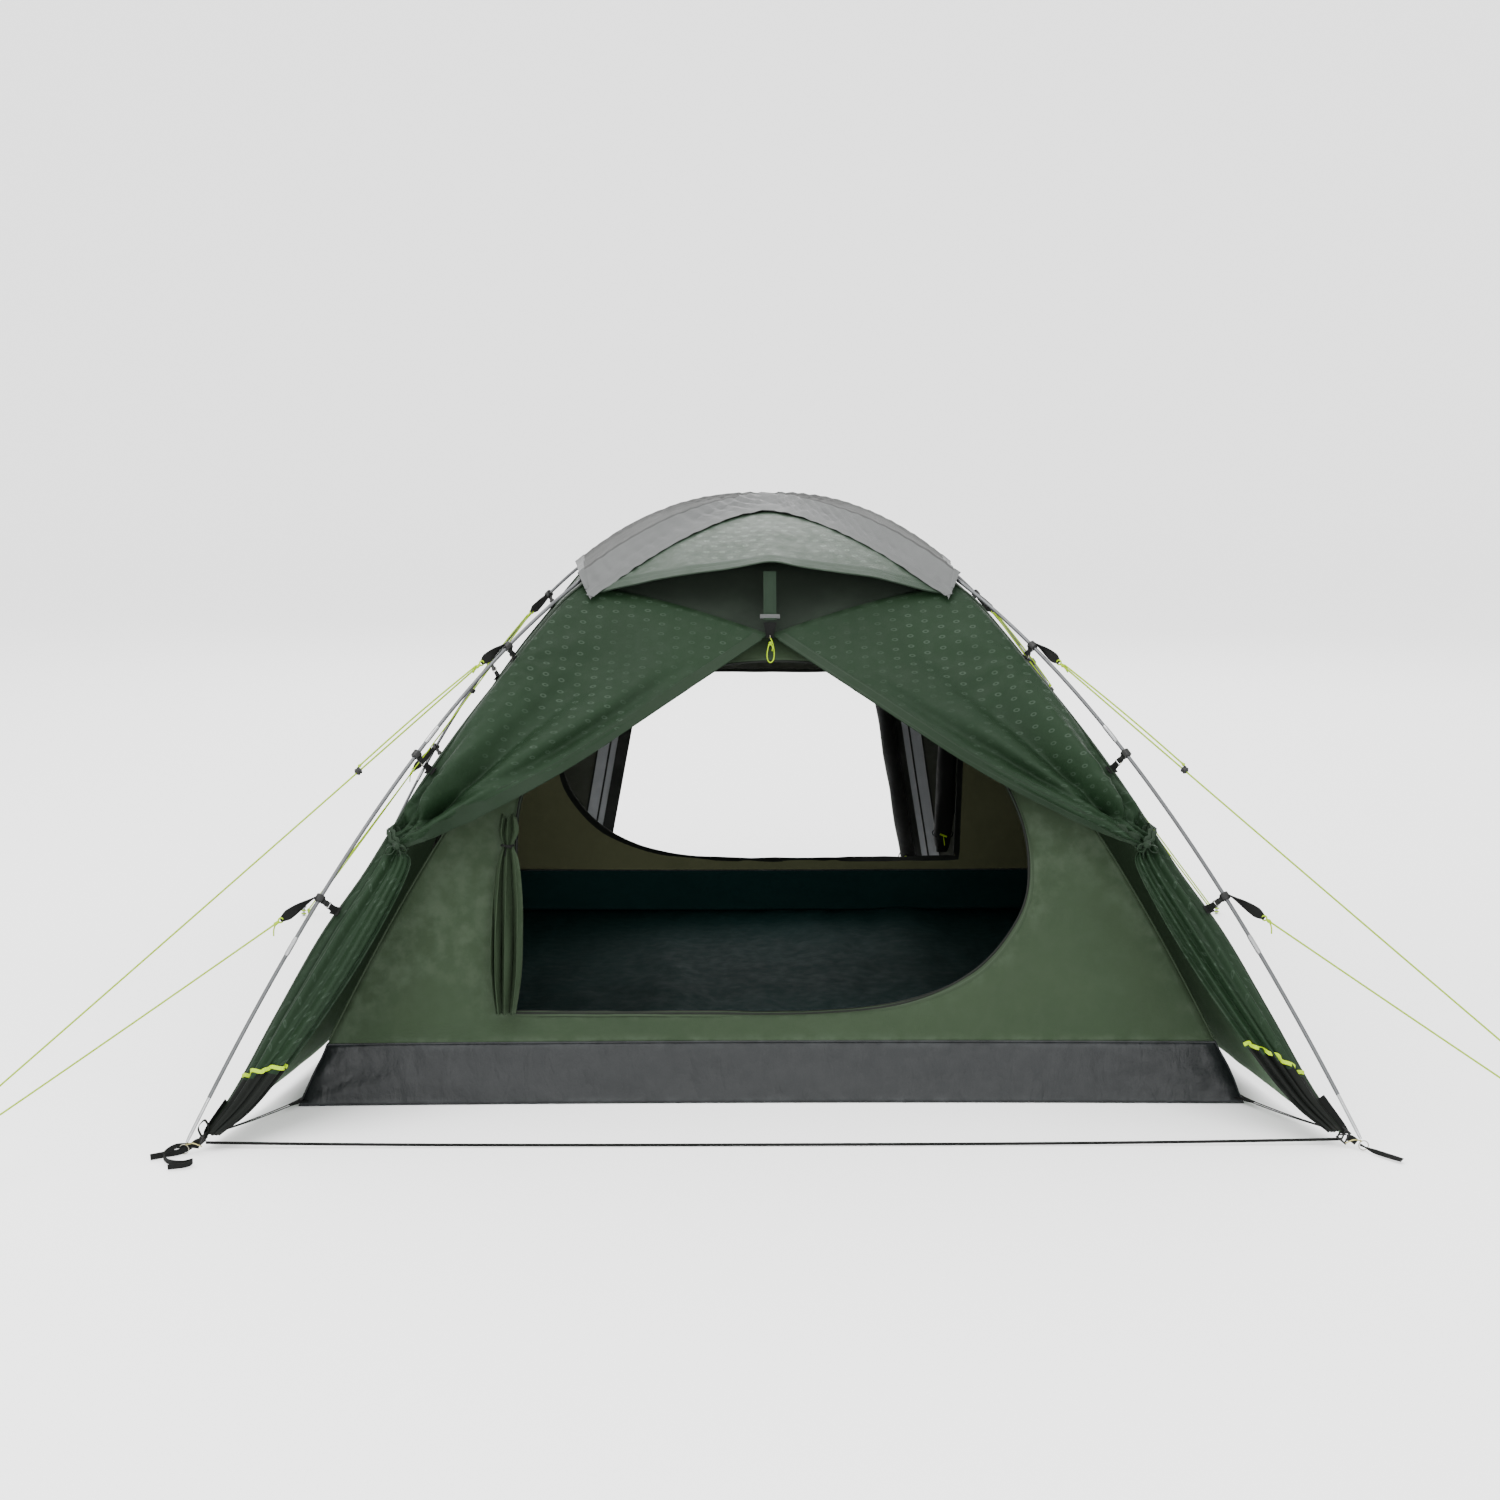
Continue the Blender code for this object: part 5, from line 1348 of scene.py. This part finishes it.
def tub(m):
    edge = inner_corner(1, 1, inner_rho(TUB_TOP))
    low = tub_outline(INNER_X - 0.001, INNER_Y - 0.001)
    high = tub_outline(edge.x, edge.y)
    t = np.linspace(0, 1, 19)
    heights = 0.0012 + (TUB_TOP - 0.0012) * t
    grid = np.array([np.column_stack([lerp(low, high, k), np.full(len(low), z)])
                     for k, z in zip(t, heights)])
    normals = grid_normals(grid, True)
    hold = (np.sin(np.pi * t) ** 0.7)[:, None]
    folds = 0.005 * rough_field(grid, 6.0, 6.0, (1, 1, 2)) + 0.0022 * rough_field(grid, 24.0, 8.0)
    for sx, sy in SIDES.values():
        for anchor, up in ((vec(sx * INNER_X, sy * INNER_Y, 0.01), 0.35),
                           (vec(sx * edge.x, sy * edge.y, TUB_TOP), -0.35)):
            for into in ((-sx, 0, up), (0, -sy, up)):
                folds += fan(grid, normals, anchor, into, 5, 0.11, 0.005, 0.7)
    lean = unit(np.concatenate([high, np.zeros((len(high), 1))], -1))[None]
    grid = grid + lean * (folds * hold)[..., None]
    around = np.concatenate([[0], np.cumsum(np.linalg.norm(np.diff(low, axis=0), axis=1))])
    obj = cloth("groundsheet_walls", grid, (m["tub"], m["tub_in"]), ring=True,
                uv=(around[None] + 0 * grid[..., 2], grid[..., 2]),
                replaces="groundsheet_tub")
    trim = Pieces()
    trim.tube([Vector(p) + vec(0, 0, 0.0016) for p in grid[-1]], 0.0024, 0, 8, (0, 0, 1), True)
    for k in range(4):
        column = grid[1:, TUB_STEPS * k]
        trim.tube([Vector(p) + vec(p[0], p[1], 0).normalized() * 0.001 for p in column], 0.0018, 0, 8)
    trim_obj = trim.build("groundsheet_seams", [m["tub"]])
    v, u = np.meshgrid(np.linspace(-1, 1, 81), np.linspace(-1, 1, 91), indexing="ij")
    x = u * (INNER_X - 0.0015 - INNER_BOW * (1 - v ** 2))
    y = v * (INNER_Y - 0.0015 - 0.25 * INNER_BOW * (1 - u ** 2))
    flat = np.stack([x, y, np.full(x.shape, 0.0012)], -1)
    ripple = 0.35 + rough_field(flat, 6.0, 3.0, (1, 0.14, 1))
    ripple += 0.4 * rough_field(flat, 17.0, 1.0, (1, 0.5, 1))
    ease = np.minimum(1, (1 - np.abs(u)) / 0.04) * np.minimum(1, (1 - np.abs(v)) / 0.04)
    flat[..., 2] += 0.016 * np.clip(ripple, 0, 1.2) * ease
    floor = cloth("groundsheet_floor", flat, (m["tub_in"], m["tub"]), thick=0.001,
                  centre=np.array((0.0, 0.0, -1.0)), replaces="")
    for place, (sx, sy) in SIDES.items():
        corner_tie(m, place, sx, sy)


def corner_tie(m, place, sx, sy):
    """Black tab at each inner corner with a doubled elastic to the foot of the pole."""
    p = Pieces()
    start = vec(sx * (INNER_X - 0.012), sy * (INNER_Y - 0.012), 0.012)
    foot = pole_point(sx, sy, 0.962)
    end = vec(foot.x - sx * 0.01, foot.y - sy * 0.012, 0.03)
    away = (end - start).normalized()
    flat = away.cross(vec(0, 0, 1)).normalized()
    tab = start + away * 0.05
    p.strap([start - away * 0.012, start + away * 0.01, tab], [0.034, 0.022, 0.012], 0.0022, 0, flat)
    for side in (-1, 1):
        p.tube(bowed(tab + flat * side * 0.0045 - away * 0.006, end + flat * side * 0.0018, 11,
                     vec(0, 0, -0.0025)), 0.0012, 1, 8)
    p.blob(end, away, 0.014, 0.0045, 1, 0.2)
    p.build("corner_elastic_" + place, [m["webbing"], m["elastic"]])


# ---- poles and hardware
def poles(m):
    bright = ((0.602, 0.622), (0.826, 0.842))
    for place, (sx, sy) in SIDES.items():
        marks = list(np.linspace(0.335, TIP_R, 84))
        for a, b in bright + ((0.957, 0.957),):
            marks += [a - 0.001, a, b, b + 0.001]
        marks = sorted(marks)
        body = Pieces()
        points = [pole_point(sx, sy, r) for r in marks if r <= 0.957]
        body.tube(points, POLE_R, 0, 16)
        for a, b in bright:
            rs = np.linspace(a, b, 8)
            radii = [FERRULE_R - 0.0006] + [FERRULE_R] * 6 + [FERRULE_R - 0.0006]
            body.tube([pole_point(sx, sy, r) for r in rs], radii, 1, 16)
        rs = np.linspace(0.955, TIP_R, 12)
        body.tube([pole_point(sx, sy, r) for r in rs], [0.0037] * 10 + [0.0034, 0.0026], 1, 16)
        body.build("pole_leg_" + place, [m["pole"], m["ferrule"]],
                   replaces=["pole_leg_" + place])
    for name, sx in (("pole_arch_over", -1), ("pole_arch_under", 1)):
        rs = np.linspace(0.334, 0.0, 36)
        points = [pole_point(sx, -1, r) for r in rs] + [pole_point(-sx, 1, r) for r in rs[-2::-1]]
        p = Pieces()
        p.tube(points, POLE_R, 0, 16)
        p.build(name, [m["pole"]], replaces=[name])


def ring_pins(m):
    for place, (sx, sy) in SIDES.items():
        tip = pole_point(sx, sy, TIP_R)
        out = vec(sx, 0.25 * sy, 0.0).normalized()
        centre = vec(tip.x + out.x * 0.006, tip.y + out.y * 0.006, 0.0125)
        p = Pieces()
        p.ring(centre, (0, 1, 0), 0.0101, 0.0011, 0, 40)
        top = centre + vec(-sx * 0.004, 0, 0.0093)
        path = curve_through([top, top + vec(-sx * 0.016, 0, 0.003),
                              top + vec(-sx * 0.034, 0, -0.004)], 6)
        p.tube(path, 0.0013, 1, 12)
        p.ring(top + vec(-sx * 0.002, 0, 0.0004), (1, 0, 0.2), 0.0019, 0.0008, 1, 16)
        p.build("ring_pin_" + place, [m["steel"], m["brass"]], body="ring_pin_" + place,
                replaces=["ring_pin_" + place])


def clips(m):
    for place, (sx, sy) in SIDES.items():
        for number, r in enumerate(CLIP_AT, 1):
            clip(m, place, sx, sy, number, r)


def clip(m, place, sx, sy, number, r):
    centre = pole_point(sx, sy, r)
    along = pole_direction(sx, sy, r)
    side = vec(sx * FOOT_Y, -sy * FOOT_X, 0.0).normalized()
    inward = along.cross(side).normalized()
    if inward.z > 0:
        inward = -inward
    p = Pieces()
    path = []
    for k in range(25):
        turn = math.radians(-158 + 316 * k / 24)
        arm = -inward * math.cos(turn) + side * math.sin(turn)
        path.append(centre + arm * (POLE_R + 0.0034))
    p.strap(path, [0.017] * 25, 0.0052, 0, along)
    neck = centre + inward * (POLE_R + 0.005)
    p.strap([neck, neck + inward * 0.006, neck + inward * 0.013], [0.016, 0.011, 0.014], 0.006, 0,
            along)
    for shift in (-0.0035, 0.0035):
        p.strap([neck + inward * 0.01 + side * shift, neck + inward * 0.018 + side * shift],
                0.012, 0.0022, 0, along)
    hole = neck + inward * 0.0155
    ring_at = hole + inward * 0.006
    p.ring(ring_at, side, 0.007, 0.001, 1, 28)
    reach = float(drop(r)) * abs(inward.z)
    cloth_at = centre + inward * (reach - 0.0015)
    low = ring_at + inward * 0.006
    if (cloth_at - low).dot(inward) < 0.004:
        cloth_at = low + inward * 0.004
    for shift in (-0.0012, 0.0012):
        p.strap([low - inward * 0.004 + side * shift, lerp(low, cloth_at, 0.5) + side * shift * 1.5,
                 cloth_at + side * shift * 2], [0.013, 0.015, 0.02], 0.0014, 2, along)
    p.strap([cloth_at - inward * 0.002 - side * 0.014, cloth_at - inward * 0.001,
             cloth_at - inward * 0.002 + side * 0.014], 0.02, 0.0014, 2, along)
    if number != 2:
        end = guy_start(sx, sy, number)
        away = end - centre
        off = (away - along * away.dot(along)).normalized()
        start = centre + off * (POLE_R + 0.004)
        face_on = away.cross(vec(0, 1, 0)).normalized()
        side_on = along.cross(off)
        if face_on.dot(side_on) < 0:
            face_on = -face_on
        ts = [k / 13 for k in range(14)]
        p.strap(bowed(start, end, 14, off * 0.0015),
                np.interp(ts, (0, 0.35, 0.8, 1), (0.012, 0.019, 0.023, 0.009)).tolist(), 0.0024, 2,
                [lerp(side_on, face_on, min(1.0, t * 1.4)) for t in ts])
    name = "pole_clip_%s_%d" % (place, number)
    p.build(name, [m["plastic"], m["steel"], m["webbing"]], replaces=[name])


def base_strap(m):
    tip = pole_point(1, -1, 0.975)
    x, y = tip.x - 0.012, tip.y + 0.02
    p = Pieces()
    points = [vec(lerp(-x, x, k / 48), y, 0.004 + 0.0085 * abs(2 * k / 48 - 1) ** 3) for k in range(49)]
    p.strap(points, 0.0062, 0.0014, 0, (0, 0.25, 1))
    p.build("base_strap_front", [m["webbing"]], replaces=["base_strap_front"])


def foot_straps(m):
    """Webbing, ladder buckle and tail that tighten each corner of the fly to its pole."""
    for place, (sx, sy) in SIDES.items():
        p = Pieces()
        corner = fly_corner(sx, sy, 0.962)
        ladder = vec(sx * FOOT_X * 0.966, sy * FOOT_Y * 0.97, 0.026)
        pin = vec(sx * FOOT_X * 0.984, sy * FOOT_Y * 0.986, 0.017)
        out = (pin - corner).normalized()
        flat = vec(sy * -0.5, 0.2, 1.0).normalized()
        start = fly_corner(sx, sy, 0.93) + vec(sx * 0.004, sy * 0.004, 0.003)
        p.strap(curve_through([start, corner + vec(sx * 0.003, sy * 0.003, 0.002), ladder], 6),
                0.02, 0.002, 0, flat)
        for shift in (-0.01, 0.0, 0.01):
            at = ladder + out * shift
            p.tube([at - flat * 0.012, at, at + flat * 0.012], 0.002, 1, 10)
        for shift in (-0.012, 0.012):
            p.tube([ladder - out * 0.013 + flat * shift, ladder + flat * shift,
                    ladder + out * 0.013 + flat * shift], 0.0022, 1, 10)
        p.strap(curve_through([ladder + out * 0.008, lerp(ladder, pin, 0.6) + vec(0, 0, 0.002), pin],
                              5), 0.014, 0.0018, 0, flat)
        loop = [ladder + vec(sx * 0.004, 0, 0.004), ladder + vec(sx * 0.01, 0, 0.024),
                ladder + vec(-sx * 0.004, 0, 0.04), ladder + vec(-sx * 0.012, 0, 0.022),
                ladder + vec(-sx * 0.006, 0, 0.004)]
        if place != "front_right":
            p.strap(curve_through(loop, 6), 0.01, 0.0016, 0, (0, 1, 0.1))
        tail_paths(p, place, sx, sy, pin)
        p.build("foot_strap_" + place, [m["webbing"], m["plastic"]])


def tail_paths(p, place, sx, sy, pin):
    """Loose ends of the foot straps: one lies curled, the others lie out straight."""
    if place == "front_left":
        under = [pin, vec(-1.236, -1.232, 0.008), vec(-1.262, -1.246, 0.0075),
                 vec(-1.29, -1.262, 0.007)]
        p.strap(curve_through(under, 6), 0.013, 0.002, 0, (0, 0.25, 1.0))
        curl = [vec(-1.2, -1.214, 0.014), vec(-1.222, -1.222, 0.018),
                vec(-1.246, -1.236, 0.02), vec(-1.262, -1.262, 0.012),
                vec(-1.246, -1.29, 0.0078), vec(-1.214, -1.302, 0.0085),
                vec(-1.196, -1.292, 0.0095), vec(-1.204, -1.312, 0.0085),
                vec(-1.24, -1.322, 0.007)]
        p.strap(curve_through(curl, 7), 0.011, 0.0016, 0, (0, 0.15, 1.0))
        return
    reach = 0.072 if place == "front_right" else 0.05
    start = pin + vec(sx * 0.006, sy * 0.006, -0.003)
    end = vec(pin.x + sx * reach, pin.y + sy * reach * 1.15, 0.0075)
    line = curve_through([start, lerp(start, end, 0.35) - vec(0, 0, 0.003), end], 9)
    ts = np.linspace(0, 1, len(line))
    sides = [vec(0, math.cos(1.3 - 1.2 * t), math.sin(1.3 - 1.2 * t) + 0.2) for t in ts]
    widths = np.interp(ts, (0, 0.2, 0.5, 1), (0.006, 0.003, 0.01, 0.012)).tolist()
    p.strap(line, widths, 0.0016, 0, sides)


# ---- guylines
RUNNER_AT = {-1: 0.225, 1: 0.25}


def guylines(m):
    for place, (sx, sy) in SIDES.items():
        for number, label in ((1, "upper"), (3, "lower")):
            start, end = guy_line(sx, sy, number)
            line = bowed(start, end, 24, vec(0, 0, -0.002))
            name = "guyline_%s_%s" % (label, place)
            p = Pieces()
            p.tube(line, GUY_R, 0, 10)
            cord = p.build(name, [m["cord"]], replaces=[name])
            knot = guy_knot(m, name, start, end, sx, sy, number)
        runner(m, place, sx, sy)
        peg(m, place, sx, sy)


def guy_knot(m, name, start, end, sx, sy, number):
    """Knot at the webbing with its short end, and the loop and knot at the peg."""
    away = (end - start).normalized()
    k = Pieces()
    k.ring(start - away * 0.004, away.cross(vec(0, 0, 1)), 0.0052, GUY_R * 0.9, 0, 20)
    k.blob(start + away * 0.007, away, 0.015, 0.004, 0, 0.15, sx)
    tail = vec(sx * 0.004, sy * 0.002, -0.026) if number == 3 else vec(sx * 0.01, 0.0, -0.014)
    k.tube(curve_through([start + away * 0.008, start + away * 0.012 + tail * 0.4,
                          start + away * 0.01 + tail], 5), GUY_R * 0.85, 0, 8)
    peg_at = peg_place(sx, sy)
    height = 0.0165 if number == 1 else 0.0065
    k.ring(peg_at + vec(0, 0, height), (0.05, 0.1, 1), 0.0062, GUY_R * 0.9, 0, 24)
    k.blob(end - away * 0.006, away, 0.012, 0.0036, 0, 0.15, sy)
    return k.build("knots_" + name, [m["cord"]])


def runner(m, place, sx, sy):
    start, end = guy_line(sx, sy, 1)
    spot = lerp(start, end, RUNNER_AT[sy])
    away = (end - start).normalized()
    p = Pieces()
    steps = 12
    points = [spot + away * lerp(-0.006, 0.006, k / (steps - 1)) for k in range(steps)]
    radii = [0.006, 0.0076, 0.0084, 0.0085, 0.008, 0.0074, 0.0074, 0.008, 0.0085, 0.0084, 0.0076, 0.006]
    p.tube(points, radii, 0, 20)
    p.ring(spot + away * 0.0062, away, 0.004, 0.0014, 0, 20)
    p.blob(spot - away * 0.0045 + vec(0, 0, 0.0095), away, 0.01, 0.0036, 1, 0.2)
    p.build("runner_" + place, [m["plastic"], m["cord"]], body="runner_" + place,
            replaces=["runner_" + place])
    lift = vec(0, 0, 1) - away * away.z
    lift.normalize()
    line = []
    for t in (k / 17 for k in range(18)):
        line.append(lerp(start + away * 0.01, spot - away * 0.0085, t)
                    + lift * (0.004 + 0.004 * t + 0.003 * math.sin(math.pi * t)))
    strand = Pieces()
    strand.tube(line, GUY_R, 0, 10)
    obj = put_mesh("guyline_return_" + place, strand.verts, strand.faces, [m["cord"]], strand.slots,
                   strand.uvs)
    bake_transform(obj)


def peg(m, place, sx, sy):
    """Round steel peg with a rolled head; only what stands above the ground."""
    base = peg_place(sx, sy)
    p = Pieces()
    heights = (0.0, 0.006, 0.012, 0.018, 0.0236, 0.0242, 0.025, 0.0268, 0.0286, 0.0294)
    radii = (0.004, 0.004, 0.004, 0.004, 0.004, 0.0066, 0.0083, 0.0086, 0.008, 0.0062)
    p.tube([base + vec(0, 0, h) for h in heights], radii, 0, 20, (1, 0.1, 0))
    p.build("peg_" + place, [m["peg"]], body="peg_" + place, replaces=["peg_" + place])


# ---- camera, lights and floor
def camera():
    data = bpy.data.cameras.new("camera")
    data.lens = 54.42
    data.sensor_width = 36.0
    data.clip_end = 100.0
    cam = bpy.data.objects.new("camera", data)
    cam.location = (-0.0943, -5.745, 1.618)
    cam.rotation_euler = (math.pi / 2 - 0.1681, 0.0, -0.0093)
    bpy.context.scene.collection.objects.link(cam)
    bpy.context.scene.camera = cam


def area_light(name, place, height, size, power):
    data = bpy.data.lights.new(name, "AREA")
    data.shape = "RECTANGLE"
    data.size, data.size_y = size
    data.energy = power
    obj = bpy.data.objects.new(name, data)
    obj.location = place
    aim = vec(0, 0, height) - Vector(place)
    obj.rotation_euler = aim.to_track_quat("-Z", "Y").to_euler()
    bpy.context.scene.collection.objects.link(obj)


def studio():
    world = bpy.data.worlds.new("studio")
    world.use_nodes = True
    background = world.node_tree.nodes["Background"]
    background.inputs["Color"].default_value = (1.0, 1.0, 1.0, 1.0)
    background.inputs["Strength"].default_value = 2.5
    bpy.context.scene.world = world
    area_light("key", (-1.6, -2.2, 6.5), 0.4, (5.0, 5.0), 520)
    area_light("fill", (0.6, -8.5, 2.0), 0.4, (4.5, 1.8), 330)
    area_light("back", (0.5, 6.0, 4.2), 0.6, (7.0, 4.0), 230)
    p = Paint("studio_floor", (0.9, 0.9, 0.9), 0.85, Specular_IOR_Level=0.1)
    place = p.coordinates("Object")
    p.colour(p.mix(p.times(p.noise(place, 1.2, 2.0), 0.06), (0.93, 0.93, 0.93), (0.84, 0.84, 0.84)))
    t = np.linspace(0, 1, 40)
    turn = np.maximum(0, 2 * t - 1)
    y = np.where(t < 0.5, lerp(-14.0, 12.0, t * 2), 12.0 + 6.0 * np.sin(turn * np.pi / 2))
    z = -0.0006 + 6.0 * (1 - np.cos(turn * np.pi / 2)) + 6 * np.maximum(0, turn - 0.9)
    verts = np.array([(x, b, c) for b, c in zip(y, z) for x in (-22.0, -7.0, 7.0, 22.0)])
    corners = [i * 4 + j for i in range(39) for j in range(3)]
    faces = [(k, k + 1, k + 5, k + 4) for k in corners]
    floor = put_mesh("studio_floor", verts, faces, [p.mat], [0] * len(faces), verts[:, :2])


def main():
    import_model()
    camera()
    studio()
    m = make_paints()
    guylines(m)
    poles(m)
    ring_pins(m)
    clips(m)
    for side, sx in HANDS:
        side_panel(m, "fly_side_" + side, sx)
    for side, sx in HANDS:
        front_door(m, "fly_front_door_" + side, sx)
    tie_knots(m)
    rear_wall(m)
    fly_seams(m)
    crown(m)
    hood(m, "hood_front", -1)
    hood(m, "hood_rear", 1)
    vent_net(m)
    struts(m)
    zip_pull(m)
    rear_rolls(m)
    tub(m)
    inner_wall(m, "inner_front_wall", -1, 1, 0.192)
    inner_wall(m, "inner_rear_wall", 1, -1, 0.168)
    for side, sx in HANDS:
        inner_side(m, "inner_side_" + side, sx)
    inner_seams(m)
    tied_flap(m)
    base_strap(m)
    foot_straps(m)
    bpy.context.view_layer.update()


main()
